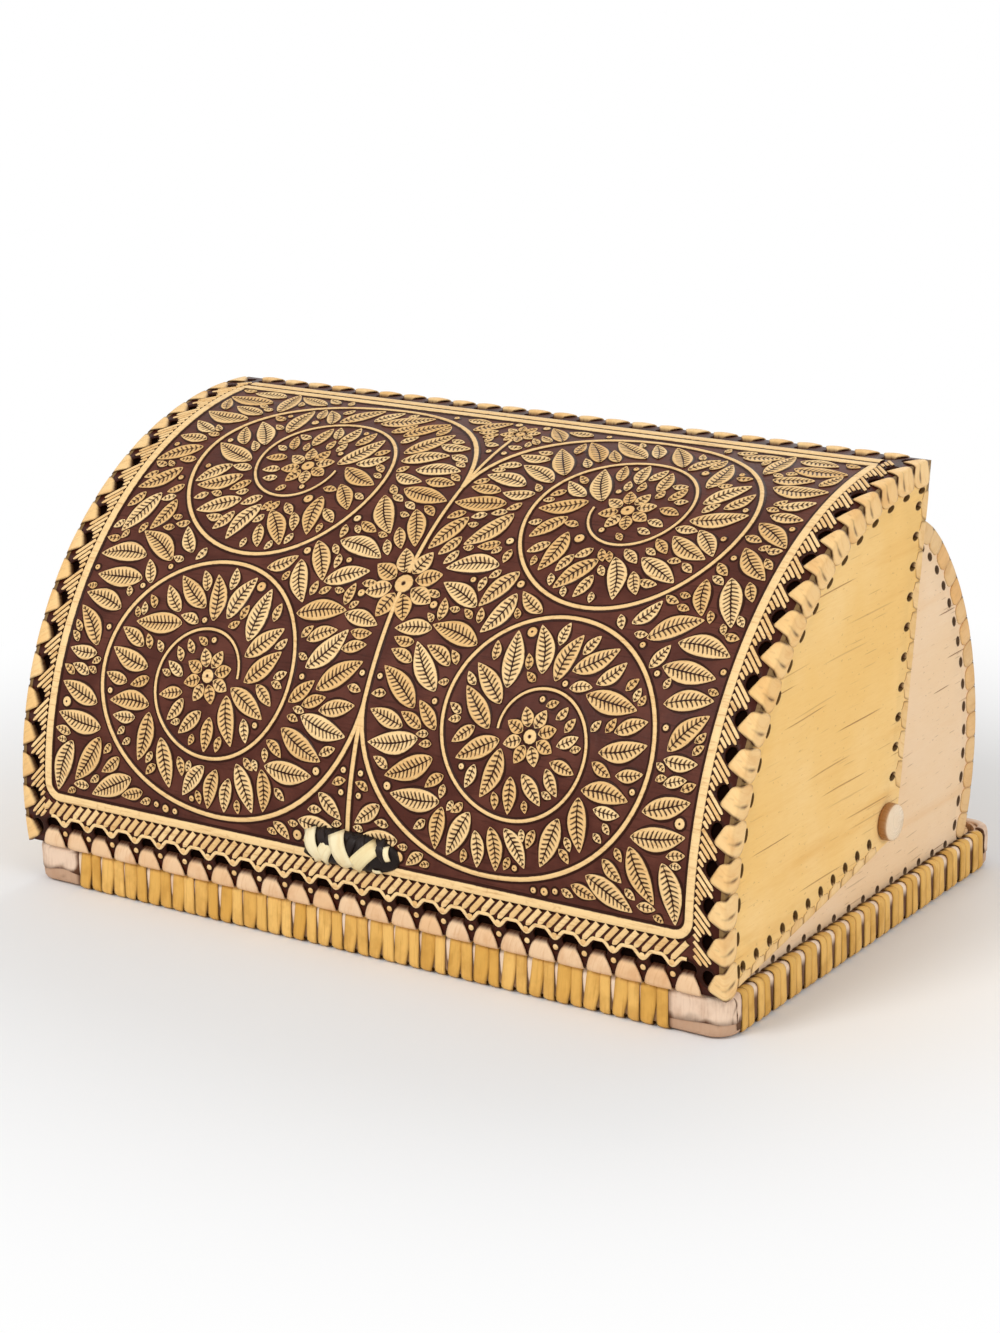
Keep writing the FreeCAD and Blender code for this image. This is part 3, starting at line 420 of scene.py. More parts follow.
# dark discs of painted shade at the bottoms of the holes
PIT = Look("hole_shade", 0.9, 0.0).finish(colour(20, 9, 6))
SIDE_PIT = Look("side_hole_shade", 0.9, 0.0).finish(colour(92, 54, 18))
SIDES = (("left", -1), ("right", 1))


def coat(material, *nodes):
    """Give nodes of the frame a material."""
    for node in nodes:
        slots = frame["nodes"][node].data.materials
        slots.clear()
        slots.append(material)


coat(FLOOR_BARK, "base_sheet", "floor_sheet")
coat(WOOD, "base_board", "hinge_spacers", "hinge_washers")
coat(CORE_BARK, "rim_core")
coat(BACK_BARK, "back_shell")
coat(LINING_BARK, "back_lining", "lid_lining")
coat(BLACK_STRIP, "pull_tie")
for side_name, side in SIDES:
    coat(BODY_BARK, f"side_panel_{side_name}")
    coat(LID_SIDE_BARK, f"lid_side_{side_name}")
    coat(SIDE_LINING_BARK, f"side_lining_{side_name}", f"lid_side_lining_{side_name}")


# ---------------------------------------------------------------- punched sheets

OVAL_POINTS = 12
PIT_GAP = 0.1
PEG_HOLE = (4.1, 4.1)
SIDE_STEPS = (16, 16)
# ink at, round and off a hole of a side sheet, which paints the shade at its edge, and how far round it goes
SIDE_RIM = ((1.0, 0.2, 0.0), 0.45)


def off(centre, reach, turn):
    """The point at a distance and direction from another."""
    return (centre[0] + reach * math.cos(turn), centre[1] + reach * math.sin(turn))


def oval(centre, radii, turn=0.0):
    """A loop of points round a hole."""
    loop = []
    for index in range(OVAL_POINTS):
        x = radii[0] * math.cos(TAU * index / OVAL_POINTS)
        y = radii[1] * math.sin(TAU * index / OVAL_POINTS)
        loop.append((centre[0] + x * math.cos(turn) - y * math.sin(turn),
                     centre[1] + x * math.sin(turn) + y * math.cos(turn)))
    return loop


def depth_in(point, hole, grow=0.0):
    """Below 1 inside an oval hole, above 1 outside it."""
    centre, radii, turn = hole
    x, y = point[0] - centre[0], point[1] - centre[1]
    along = x * math.cos(turn) + y * math.sin(turn)
    across = y * math.cos(turn) - x * math.sin(turn)
    return (along / (radii[0] + grow)) ** 2 + (across / (radii[1] + grow)) ** 2


def inside(point, loop):
    """True for a point inside a closed loop."""
    found = False
    x, y = point
    for (ax, ay), (bx, by) in zip(loop, loop[1:] + loop[:1]):
        if (ay > y) != (by > y) and x < (bx - ax) * (y - ay) / (by - ay) + ax:
            found = not found
    return found


def punched(outline, holes, steps, to_space, rim=(1.0, 1.45, 2.0), ring=0.7, edge_ink=None, shaded=()):
    """A sheet cut flat with real holes, then placed in the frame.

    rim gives the ink at, round and off a hole, ring how far round it goes, edge_ink the ink round the
    outline, and shaded further points with their ink.
    """
    flat, edges, ink = [], [], []

    def dot(point, value):
        flat.append(Vector(point))
        ink.append(value)

    def loop_in(points, values):
        start = len(flat)
        for index, (point, value) in enumerate(zip(points, values)):
            dot(point, value)
            edges.append((start + index, start + (index + 1) % len(points)))
    loop_in(outline, edge_ink or [rim[2]] * len(outline))
    for point, value in shaded:
        dot(point, value)
    low, high = ([bound(point[axis] for point in outline) for axis in (0, 1)] for bound in (min, max))
    counts = [round((high[axis] - low[axis]) / steps[axis]) for axis in (0, 1)]
    for row in range(1, counts[1]):
        for column in range(1, counts[0]):
            spot = [low[axis] + (high[axis] - low[axis]) * place / counts[axis]
                    for axis, place in enumerate((column, row))]
            if all(depth_in(spot, hole, 1.2) > 1 for hole in holes) and inside(spot, outline):
                dot(spot, rim[2])
    # the ink at and round each hole paints the shade at its edge; on the lid's sheet it comes out near black
    for centre, radii, turn in holes:
        loop_in(oval(centre, radii, turn), [rim[0]] * OVAL_POINTS)
        for point in oval(centre, (radii[0] + ring, radii[1] + ring), turn):
            if inside(point, outline):
                dot(point, rim[1])
    points, _, faces, origins = geometry.delaunay_2d_cdt(flat, edges, [], 0, 1e-5)[:4]
    build = Build()
    for point, source in zip(points, origins):
        build.add(to_space(*point), ink[source[0]] if source else rim[2], 0.5, (*point, 0))
    for face in faces:
        middle = sum((points[index] for index in face), Vector((0, 0))) / 3
        if inside(middle, outline) and all(depth_in(middle, hole) > 0.97 for hole in holes):
            build.faces.append(tuple(face))
    return build


def pits(name, body, slot, holes, to_space, material):
    """Dark discs of painted shade at the bottoms of punched holes."""
    build = Build()
    for centre, radii, turn in holes:
        start = len(build.points)
        for point in [centre] + oval(centre, (radii[0] + PIT_GAP, radii[1] + PIT_GAP), turn):
            build.add(to_space(*point))
        build.faces += [(start, start + 1 + k, start + 1 + (k + 1) % OVAL_POINTS) for k in range(OVAL_POINTS)]
    build.piece(name, material, body, slot)


def punched_front():
    """The lid's curved sheet."""
    holes = [((side * ARC_HOLE_U, v), ARC_HOLE, 0.0) for _, side in SIDES for v in arc_row()]
    for hole, v in ((FRONT_HOLE, FRONT_HOLE_V), (REAR_HOLE, REAR_HOLE_V)):
        holes += [((u, v), hole, 0.0) for u in front_row()]
    rows = round(ARC_LENGTH / 4)
    side_line = [(PANEL_HALF, ARC_LENGTH * row / rows) for row in range(rows + 1)]
    outline = side_line + [(-u, v) for u, v in side_line[::-1]]
    build = punched(outline, holes, (12, 4), on_lid)
    build.piece("lid_front", EMBOSSED, "lid", "embossed_bark", ["lid_panel"], thickness=BARK)
    pits("lid_front_pits", "lid", "embossed_bark", holes, lambda u, v: on_lid(u, v, PIT_GAP - BARK), PIT)


def flat_loops(node, face_x):
    """The loops that bound a flat side sheet's outer face, in Y and Z, longest first."""
    mesh = frame["nodes"][node].data
    edges = {}
    for polygon in mesh.polygons:
        corners = [mesh.vertices[index].co / MM for index in polygon.vertices]
        if all(abs(corner.x - face_x) < 0.02 for corner in corners):
            spots = [(round(corner.y, 2), round(corner.z, 2)) for corner in corners]
            edges.update(dict.fromkeys(zip(spots, spots[1:] + spots[:1])))
    follow = {a: b for a, b in edges if (b, a) not in edges}
    loops = []
    while follow:
        first = next(iter(follow))
        loop = []
        while first in follow:
            loop.append(first)
            first = follow.pop(first)
        loops.append(loop)
    return sorted(loops, key=len, reverse=True)


def outer_face(node, side):
    """X of a side sheet's outer face."""
    return box_mm(node)[1 if side > 0 else 0].x


# ---------------------------------------------------------------- relief

RELIEF = 0.75
FIELD_HALF = 170.0
FIELD_LOW = 28.0
FIELD_HIGH = 271.5
FRAME_HALF = 173.6
FRAME_LOW = 24.6
FRAME_HIGH = 275.0
FRAME_WIDTH = 4.6
CELL = 0.7


class Field:
    """Which part of the right half of the field is taken, on a fine raster."""

    def __init__(self):
        self.size = (int(FIELD_HALF / CELL) + 1, int((FIELD_HIGH - FIELD_LOW) / CELL) + 1)
        self.taken = np.zeros(self.size, bool)

    def cells(self, points):
        """The cell of each point, and whether it lies in the field."""
        index = np.floor((np.array(points) - (0, FIELD_LOW)) / CELL).astype(int)
        return index, ((index >= 0) & (index < self.size)).all(axis=1)

    def free(self, points):
        index, within = self.cells(points)
        return within.all() and not self.taken[tuple(index.T)].any()

    def take(self, points):
        index, within = self.cells(points)
        self.taken[tuple(index[within].T)] = True


VEIN_PITCH = 2.2
VEIN_SLANT = 0.42
VEIN_HEIGHT, RIB_HEIGHT = 0.58, 0.35
LEAF_PITCH = 12.4
LEAF_TURN = 0.85
SKIRT = 0.85
LIFT_OFF = 0.03
relief = Build()
field = Field()
LEAF_COLUMNS = (-1.0, -0.82, -0.58, -0.1, 0.0, 0.1, 0.58, 0.82, 1.0)


def leaf_point(base, angle, length, width, bend, s, t):
    """A point of a leaf: s from stalk to tip, t across from edge to edge."""
    half = width / 2 * math.sin(math.pi * s ** 0.86) ** 0.82
    sway = bend * length * math.sin(math.pi * s) * 0.5
    x, y = length * s, sway + half * t
    return (base[0] + x * math.cos(angle) - y * math.sin(angle),
            base[1] + x * math.sin(angle) + y * math.cos(angle))


def draw_leaf(base, angle, length, width, bend=0.0):
    """A raised leaf with an unbroken rim, a cut midrib and slanting cut veins."""
    tint = random.random()
    last = max(3, round(length / VEIN_PITCH)) * 2 + 1
    flat, height, ink = [], [], []
    for row in range(last + 1):
        s_row = 0.004 + 0.992 * row / last
        cut = row % 2 == 1 and row != last
        line, lift, dark = [], [], []
        for t in LEAF_COLUMNS:
            s = min(0.998, s_row + VEIN_SLANT * s_row * (1 - s_row) * abs(t))
            line.append(leaf_point(base, angle, length, width, bend, s, t))
            rim = abs(t) > 0.9
            vein = cut and abs(t) < 0.7
            lift.append(0.0 if rim else RELIEF * (RIB_HEIGHT if t == 0 else VEIN_HEIGHT if vein else 1.0))
            dark.append(1.0 if rim or t == 0 else 0.74 if vein else 0.0 if abs(t) > 0.2 else 0.25)
        out = [leaf_point(base, angle, length, width + SKIRT * 2, bend, s_row, t) for t in (-1, 1)]
        flat.append([out[0], *line, out[1]])
        height.append([0.05, *lift, 0.05])
        ink.append([1.2, *dark, 1.2])
    for hand in (1, -1):
        rows = [[on_lid(hand * u, v, up + LIFT_OFF) for (u, v), up in zip(line, lift)][::hand]
                for line, lift in zip(flat, height)]
        relief.grid(rows, [row[::hand] for row in ink], tint)


def leaf_cells(base, angle, length, width, bend, grow):
    """Points spread over a leaf that is grown all round."""
    steps, across = max(6, int(length)), max(4, int(width / 0.8))
    foot = off(base, -grow, angle)
    return [leaf_point(foot, angle, length + grow * 2, width + grow * 2, bend, (i + 0.5) / steps,
                       2 * (j + 0.5) / across - 1) for i in range(steps) for j in range(across)]


def try_leaf(base, angle, lengths, slim=0.34, bend=0.0, grow=1.0):
    """Put down the longest leaf that fits, if any does."""
    for length in lengths:
        width = length * slim + 1.6
        if field.free(leaf_cells(base, angle, length, width, bend, 0.0)):
            draw_leaf(base, angle, length, width, bend)
            field.take(leaf_cells(base, angle, length, width, bend, grow))
            return


def headings(path, closed=False):
    """The direction of a path at each of its points."""
    result = []
    count = len(path)
    for i in range(count):
        a = path[i - 1] if closed or i else path[0]
        b = path[(i + 1) % count] if closed or i < count - 1 else path[-1]
        result.append(math.atan2(b[1] - a[1], b[0] - a[0]))
    return result


def raise_band(path, widths, profile, hands=(1,), closed=False, tint=0.5, skirt=0.8):
    """A raised band along a path. profile gives (place across, share of the height, ink)."""
    turns = headings(path, closed)
    for hand in hands:
        rows = []
        for (x, y), turn, width in zip(path, turns, widths):
            row = []
            for place, lift, _ in profile:
                reach = place * width / 2 + (math.copysign(skirt, place) if abs(place) > 1 else 0)
                row.append(on_lid(hand * (x - reach * math.sin(turn)), y + reach * math.cos(turn),
                                  lift * RELIEF + LIFT_OFF))
            rows.append(row[::hand])
        relief.grid(rows, [[ink for *_, ink in profile[::hand]]] * len(rows), tint, closed=closed)


STEM_PROFILE = ((-1.001, 0.06, 1.2), (-1, 0.1, 1.0), (-0.5, 0.9, 0.1), (0, 1.0, 0.0), (0.5, 0.9, 0.1),
                (1, 0.1, 1.0), (1.001, 0.06, 1.2))
FRAME_PROFILE = ((-1.001, 0.06, 1.2), (-1, 0.1, 1.0), (-0.7, 1.0, 0.1), (-0.3, 1.15, 0.0), (0.3, 1.15, 0.0),
                 (0.7, 1.0, 0.1), (1, 0.1, 1.0), (1.001, 0.06, 1.2))


def draw_stem(path, thick, thin, hands=(1, -1)):
    """A raised stem, thinner to its end, that takes its ground."""
    widths = [thick + (thin - thick) * i / (len(path) - 1) for i in range(len(path))]
    raise_band(path, widths, STEM_PROFILE, hands, tint=0.6)
    close = even(path, CELL * 0.8)
    field.take([off(spot, k / 4 * (thick / 2 + 0.7), turn + math.pi / 2)
                for spot, turn in zip(close, headings(close)) for k in range(-4, 5)])


def draw_dot(centre, radius, hands=(1, -1), heart=True, height=1.0):
    """A round boss, with a pricked heart or plain."""
    middle = ((0.22, 0.9, 0.5), (0.03, 0.5, 1.0)) if heart else ((0.22, 1.05, 0.0), (0.03, 1.08, 0.0))
    rings = ((1.0 + 0.8 / radius, 0.06, 1.2), (1.0, 0.05, 1.0), (0.78, 0.75, 0.1), (0.45, 1.0, 0.0), *middle)
    tint = random.random()
    for hand in hands:
        rows = []
        for share, lift, _ in rings:
            loop = [off((hand * centre[0], centre[1]), radius * share, TAU * k / 12) for k in range(12)]
            rows.append([on_lid(u, v, lift * RELIEF * height + LIFT_OFF) for u, v in loop])
        relief.grid(rows, [[ink] * 12 for *_, ink in rings], tint, around=True)


def disc_cells(centre, radius):
    """Points spread over a disc."""
    steps = max(3, int(radius / 0.5))
    return [off(centre, radius * r / steps, TAU * k / 24) for r in range(1, steps + 1) for k in range(24)]


def try_dot(centre, radius):
    """Put down a dot if it fits."""
    if field.free(disc_cells(centre, radius + 0.3)):
        draw_dot(centre, radius)
        field.take(disc_cells(centre, radius + 0.9))


def rosette(centre, radius, hands=(1, -1)):
    """A flower of eight pointed petals round a boss. Its tints leave the other draws as they are."""
    heart = radius * 0.27
    draw_dot(centre, heart, hands)
    keep = random.getstate()
    for index in range(8):
        turn = TAU * (index + 0.5) / 8
        start = off(centre, heart + 0.6, turn)
        if len(hands) == 2 or start[0] > centre[0] - 1e-6:
            draw_leaf(start, turn, radius - heart - 0.6, radius * 0.5)
    random.setstate(keep)
    field.take(disc_cells(centre, radius + 0.8))


# scroll: centre, radii every quarter turn from the central stem inward, and which way it curls
SCROLLS = (((87.0, 94.0), (87, 61, 60, 54, 45, 36, 28, 21, 16.5), 1),
           ((87.0, 209.0), (87, 58, 60, 55, 45, 36, 28, 21, 16.5), -1))
FIELD_MIDDLE = 151.5


def scroll_path(centre, radii, hand):
    """A spiral that leaves the central stem and curls in to its eye, smooth through its radii."""
    path = []
    for index, (a, b) in enumerate(zip(radii, radii[1:])):
        before, after = radii[max(0, index - 1)], radii[min(len(radii) - 1, index + 2)]
        for k in range(24):
            t = k / 24
            radius = 0.5 * (2 * a + (b - before) * t + (2 * before - 5 * a + 4 * b - after) * t * t
                            + (3 * a - before - 3 * b + after) * t ** 3)
            path.append(off(centre, radius, math.pi + hand * (index + t) * math.pi / 2))
    return path


def even(path, step):
    """Points at an even step along a path."""
    result, left = [path[0]], step
    for a, b in zip(path, path[1:]):
        gap = math.dist(a, b)
        while gap >= left:
            share = left / gap
            a = (a[0] + (b[0] - a[0]) * share, a[1] + (b[1] - a[1]) * share)
            result.append(a)
            gap = math.dist(a, b)
            left = step
        left -= gap
    return result


def dress(path, outside, inside, hand):
    """Leaves on both sides of a stem, the longer ones outside its curl."""
    places = even(path, LEAF_PITCH)
    for spot, turn in list(zip(places, headings(places)))[2:]:
        for side, lengths in ((-hand, outside), (hand, inside)):
            angle = turn + side * (LEAF_TURN + random.uniform(-0.08, 0.08))
            try_leaf(off(spot, 1.9, turn + side * math.pi / 2), angle, lengths, 0.37, -side * 0.12)


# flowers on the central stem, as centre and radius, and the radius of one in a scroll's eye
STEM_FLOWERS = (((0.0, FIELD_MIDDLE), 19.0), ((0.0, 258.5), 9.5))
EYE_FLOWER = 13.2
# lengths of leaves to try, longest first
OUTER_LEAVES = (32, 29, 26, 23, 20, 17, 14, 11)
INNER_LEAVES = (24, 21, 18, 15, 13, 11, 9)
STEM_LEAVES = (27, 24, 20, 17, 14, 11, 9)
FILL_LEAVES = ((26, 23), (19, 16), (13, 11), (9, 7.5), (6.4, 5.4))
FILL_DOTS = (2.6, 2.0, 1.5)
FILL_SPOTS = 3600


def ornament():
    """A symmetrical vine: a central stem, four scrolls with flowers in their eyes, and filled ground."""
    stem = [(0.0, FIELD_LOW + 1 + 2 * k) for k in range(int((FIELD_HIGH - FIELD_LOW - 18) / 2))]
    draw_stem([point for point in stem if point[1] < FIELD_MIDDLE - 4], 3.0, 2.5, (1,))
    draw_stem([point for point in stem if point[1] > FIELD_MIDDLE + 4], 2.5, 2.0, (1,))
    for centre, radius in STEM_FLOWERS:
        rosette(centre, radius, (1,))
    paths = [scroll_path(*scroll) for scroll in SCROLLS]
    for (centre, _, _), path in zip(SCROLLS, paths):
        draw_stem(path, 2.8, 1.5)
        rosette(centre, EYE_FLOWER)
    for (_, _, hand), path in zip(SCROLLS, paths):
        dress(path, OUTER_LEAVES, INNER_LEAVES, hand)
    dress(stem[4:], STEM_LEAVES, STEM_LEAVES, 1)
    rest = random.Random(SEED)
    spots = [(rest.uniform(2, FIELD_HALF), rest.uniform(FIELD_LOW, FIELD_HIGH)) for _ in range(FILL_SPOTS)]
    for lengths in FILL_LEAVES:
        for spot in spots:
            centre = SCROLLS[0 if spot[1] < FIELD_MIDDLE else 1][0]
            away = math.atan2(spot[1] - centre[1], spot[0] - centre[0])
            try_leaf(spot, away + rest.uniform(-0.9, 0.9), lengths, 0.36, rest.uniform(-0.15, 0.15), 0.75)
    for radius in FILL_DOTS:
        for spot in spots:
            try_dot(spot, radius)


ornament()


def frame_line(radius=7.0):
    """The line round the field, with rounded lower corners."""
    corner = (FRAME_HALF - radius, FRAME_LOW + radius)
    right = [off(corner, radius, math.pi / 2 * (k / 6 - 1)) for k in range(7)]
    right += [(FRAME_HALF, corner[1] + 4 * k) for k in range(1, int((FRAME_HIGH - corner[1]) / 4) + 1)]
    right.append((FRAME_HALF, FRAME_HIGH))
    over = [(FRAME_HALF * (1 - k / 14), FRAME_HIGH) for k in range(1, 28)]
    under = [(corner[0] * (k / 14 - 1), FRAME_LOW) for k in range(1, 28)]
    path = right + over + [(-x, y) for x, y in right[::-1]] + under
    raise_band(path, [FRAME_WIDTH] * len(path), FRAME_PROFILE, closed=True, tint=0.9, skirt=1.0)


frame_line()
relief.piece("lid_relief", EMBOSSED, "lid", "embossed_bark")
relief = Build()


BAR_SHARE = 0.86
BAR_CLEAR = 0.3
SWAG_WIDTH = 2.0
SWAG_CREST = 2.2
BELOW_SLANT, BESIDE_SLANT = -0.9, -1.05
REAR_BAND_UP, REAR_BAND_WIDTH = 4.2, 5.6
# knobs between two strips: shift, rise above the front holes, radius and height
KNOBS = ((-0.2, 1.6, 1.7, 1.2), (0.0, -3.6, 1.5, 1.0))
BAR_PROFILE = ((-1, 0.0, 1.0), (-0.62, 0.9, 0.05), (-0.16, 1.0, 0.0), (0.16, 1.0, 0.0), (0.62, 0.9, 0.05),
               (1, 0.0, 1.0))


def bars(holes, pitch, hole, hole_reach, slant, most, to_lid, each=3, limits=(-177, 177)):
    """Slanting raised bars from the frame line up to the row of holes, packed close."""
    step = pitch / each
    width = step * math.cos(math.atan(slant)) * BAR_SHARE
    for k in range(-each, len(holes) * each):
        start = holes[0] + (k + 0.5) * step - slant * hole_reach * 0.7
        path, reach = [], 0.2
        limit = most * random.uniform(0.94, 1.0)
        while reach < limit and limits[0] < start + slant * reach < limits[1]:
            spot = start + slant * reach
            away = (spot - holes[0] + pitch / 2) % pitch - pitch / 2
            if depth_in((away, reach - hole_reach), ((0, 0), hole, 0.0), BAR_CLEAR) < 1:
                break
            path.append(to_lid(spot, reach))
            reach += 0.5
        if len(path) >= 4:
            widths = [width] * (len(path) - 2) + [width * 0.8, width * 0.4]
            raise_band(path, widths, BAR_PROFILE, tint=random.uniform(0.2, 1.0))


def swags(holes, pitch, crest, dip, to_lid):
    """A pale wavy line that rises over each hole and dips between two."""
    path = []
    steps = 18
    for k in range((len(holes) - 1) * steps + 1):
        away = abs((k / steps + 0.5) % 1 - 0.5) * pitch
        share = min(1, max(0, (away - SWAG_CREST) / (pitch / 2 - SWAG_CREST)))
        reach = crest + (dip - crest) * share * share * (3 - 2 * share)
        path.append(to_lid(holes[0] + pitch * k / steps, reach))
    raise_band(path, [SWAG_WIDTH] * len(path), BAR_PROFILE, tint=1.0)


def borders():
    """The band of bars and swags between the frame line and the laces."""
    lower, upper = FRAME_LOW - FRAME_WIDTH / 2, FRAME_HIGH + FRAME_WIDTH / 2
    beside = FRAME_HALF + FRAME_WIDTH / 2
    columns = front_row()
    low_reach, side_reach = lower - FRONT_HOLE_V, ARC_HOLE_U - beside
    clear = low_reach - FRONT_HOLE[1]

    def below(along, reach):
        return (along, lower - reach)
    swags(columns, FRONT_PITCH, clear - 1.0, low_reach - 0.4, below)
    bars(columns, FRONT_PITCH, (8.0, FRONT_HOLE[1] + 1.4), low_reach, BELOW_SLANT, clear + 0.2,
         below)
    rear_band = [(FRAME_HALF * (k / 40 - 1), upper + REAR_BAND_UP) for k in range(81)]
    raise_band(rear_band, [REAR_BAND_WIDTH] * len(rear_band), FRAME_PROFILE, tint=0.7)
    for u in columns[:-1]:
        for shift, rise, radius, height in KNOBS:
            draw_dot((u + FRONT_PITCH / 2 + shift, FRONT_HOLE_V + rise), radius, (1,), False, height)
    for hand in (1, -1):
        bars(arc_row(), ARC_STEP, ARC_HOLE[::-1], side_reach, BESIDE_SLANT, side_reach + 2.2,
             lambda p, q, hand=hand: (hand * (beside + q), p), 5, (13, ARC_LENGTH - 14))


borders()
relief.piece("lid_border_relief", EMBOSSED, "lid", "embossed_bark")


# ---------------------------------------------------------------- lacing

def lay_strip(build, knots, to_space, tint, tilt, wide, border_shade=0.42, far_border_shade=0.2, shade_marks=()):
    """A closed strip along knots of (inward, lift, width, ink, crown) and, where it leans, (shift, skew).

    Inward is measured from the outer face of the edge, lift out from the surface that the strip starts on.
    Skew draws one border of the strip back. to_space(inward, lift, along) gives a point of the frame. The
    knots' ink and the border shade paint shade where the strip goes into a hole, under the edge and along its
    borders.
    """
    rows, inks = [], []
    for i, (inward, lift, width, ink, crown, *lean) in enumerate(knots):
        before, after = knots[i - 1], knots[(i + 1) % len(knots)]
        da, db = after[0] - before[0], after[1] - before[1]
        size = math.hypot(da, db)
        shift, skew = lean or (0, 0)
        # painted shade along the strip's borders
        border = border_shade if lift > -0.4 else far_border_shade
        row, dark = [], []
        for j in range(9):
            t = j / 4 - 1
            raised = crown * (1 - t * t)
            row.append(to_space(inward - t * skew + db / size * raised, lift - da / size * raised,
                                shift + tilt * inward + t * width * wide / 2))
            dark.append(ink + (border if abs(t) > 0.9 else 0.0))
        rows.append(row)
        inks.append(dark)
    for i, j, extra in shade_marks:
        inks[i][j] += extra
    build.grid(rows, inks, tint, closed=True, seed=random.uniform(0, 90))


punched_front()

# knots from the hole over the edge and back inside; their ink paints shade where the strip goes into the hole
# and under the edge
WHIP = ((8.6, -1.4, 6.0, 1.0, 0), (8.1, -0.6, 6.6, 0.95, 0.1), (7.5, 0.05, 7.2, 0.65, 0.15),
        (6.8, 0.4, 7.9, 0.25, 0.2), (5.4, 0.55, 9.4, 0, 0.25), (3.6, 0.55, 10.9, 0, 0.25),
        (2.0, 0.55, 12.0, 0, 0.2), (0.6, 0.55, 12.5, 0, 0.2), (-0.45, 0.1, 12.6, 0.1, 0.2),
        (-0.8, -0.9, 12.4, 0.3, 0.1), (-0.6, -1.9, 12, 0.3, 0), (0.6, -2.35, 11.4, 0.2, 0),
        (3.0, -2.35, 10, 0.1, 0), (7.0, -2.4, 6.4, 0.4, 0), (8.6, -2.2, 5, 1.0, 0))
# the rear row's strips stand up in short lumps
REAR_WHIP = ((6.6, -1.4, 5.0, 1.0, 0), (6.3, -0.5, 5.6, 0.9, 0.1), (5.7, 0.1, 6.4, 0.5, 0.3),
             (4.9, 0.45, 7.6, 0.05, 0.5), (3.4, 0.55, 9.2, 0, 0.5), (1.8, 0.5, 10.2, 0, 0.5),
             (0.6, 0.4, 10.8, 0, 0.4), (-0.5, -0.1, 11.2, 0.1, 0.3), (-0.8, -1.0, 11.2, 0.2, 0.2),
             (-0.6, -1.9, 11, 0.3, 0), (0.6, -2.3, 10.4, 0.2, 0), (5.0, -2.4, 6.4, 0.4, 0),
             (6.6, -2.2, 5, 1.0, 0))


def whip_row(name, material, knots, from_edge, flip, replaces):
    """A row of strips over the lid's lower or rear edge."""
    build = Build()
    for u in front_row():
        wide, tilt = random.uniform(0.95, 1.03), random.uniform(-0.03, 0.03)

        def to_space(inward, lift, along, u=u):
            return on_lid(u + along, from_edge(inward), lift)
        lay_strip(build, knots, to_space, random.random(), tilt, wide)
    build.piece(name, material, "lid", "lid_strips", replaces, thickness=0.5, flip=flip)


whip_row("lid_front_strips", FRONT_STRIP, WHIP, lambda a: a, False, ["lid_front_lacing"])
whip_row("lid_rear_strips", LID_STRIP, REAR_WHIP, lambda a: ARC_LENGTH - a, True, ["lid_rear_lacing"])

# knots round a corner: inward from the side's face, lift out from the curved face
CORNER = ((6.0, -1.4, 6.2, 1.0, 0, -0.9, 1.9), (5.6, -0.5, 6.8, 0.9, 0.05, -0.9, 2.0),
          (5.2, 0.1, 7.4, 0.5, 0.08, -1.0, 2.0), (4.3, 0.35, 8.6, 0.05, 0.14, -1.2, 1.8),
          (2.9, 0.4, 10.2, 0, 0.18, -1.5, 1.3), (1.5, 0.35, 11.6, 0, 0.16, -1.9, 0.7),
          (0.4, 0.2, 12.8, 0, 0.12, -2.35, 0.1), (-0.25, -0.3, 13.5, 0.03, 0.06, -2.5, 0),
          (-0.25, -1.8, 14.5, 0, 0.03, -2.5, 0), (-0.25, -4.0, 15.5, 0, 0.03, -2.3, 0),
          (-0.25, -6.2, 15.6, 0, 0.03, -2.0, 0), (-0.25, -8.0, 15.2, 0, 0.03, -1.6, 0),
          (-0.24, -9.3, 13.4, 0, 0.03, -1.1, 0), (-0.2, -10.2, 9.6, 0.15, 0.03, -0.7, 0),
          (0.5, -10.9, 6.0, 1.0, 0, -0.5, 0), (2.5, -10.6, 5.0, 0.6, 0, -0.5, 0),
          (2.5, -6.4, 7.0, 0.2, 0, -1, 0), (2.7, -3.0, 7.0, 0.2, 0, -1, 0),
          (4.6, -2.6, 6.0, 0.3, 0, -0.8, 0.8), (5.8, -2.4, 5.6, 0.8, 0, -0.8, 1.6))
BODY_CORNER = ((7.0, -1.2, 6.0, 1.0, 0), (6.7, 0.2, 6.6, 0.5, 0.1), (5.8, 0.45, 8.4, 0.1, 0.2),
               (4.0, 0.5, 10.6, 0, 0.2), (1.6, 0.5, 11.6, 0, 0.2), (0.3, 0.4, 11.8, 0.15, 0.15),
               (-0.4, -0.3, 11.8, 0.35, 0.15), (-0.5, -1.4, 11.8, 0.1, 0.12), (-0.5, -4.0, 11.8, 0, 0.12),
               (-0.5, -6.6, 11.2, 0, 0.12), (-0.45, -8.0, 9.2, 0, 0.12), (-0.15, -8.8, 6.2, 0.4, 0.1),
               (0.8, -9.4, 4.6, 1.0, 0), (2.4, -9.2, 5.0, 0.6, 0), (2.6, -6.6, 7.0, 0.2, 0),
               (5.4, -3.4, 7.0, 0.2, 0), (7.0, -2.4, 6.0, 0.8, 0))
# painted shade in the crease over the corner, in the notch that it ends in and along the borders between
# strips: knot, column, ink
CREASE_SHADE = [(3, 5, 0.2), (4, 4, 0.34), (5, 4, 0.36), (6, 3, 0.38), (7, 3, 0.4), (8, 3, 0.5), (9, 3, 0.75),
          (10, 3, 0.85), (11, 3, 0.6)]
CREASE_SHADE += [(knot, column, ink) for column in (0, 8) for knot, ink in enumerate(
    (0.3, 0.45, 0.6, 0.65, 0.9, 0.5, 0, 0.3, 0.4), 4)]


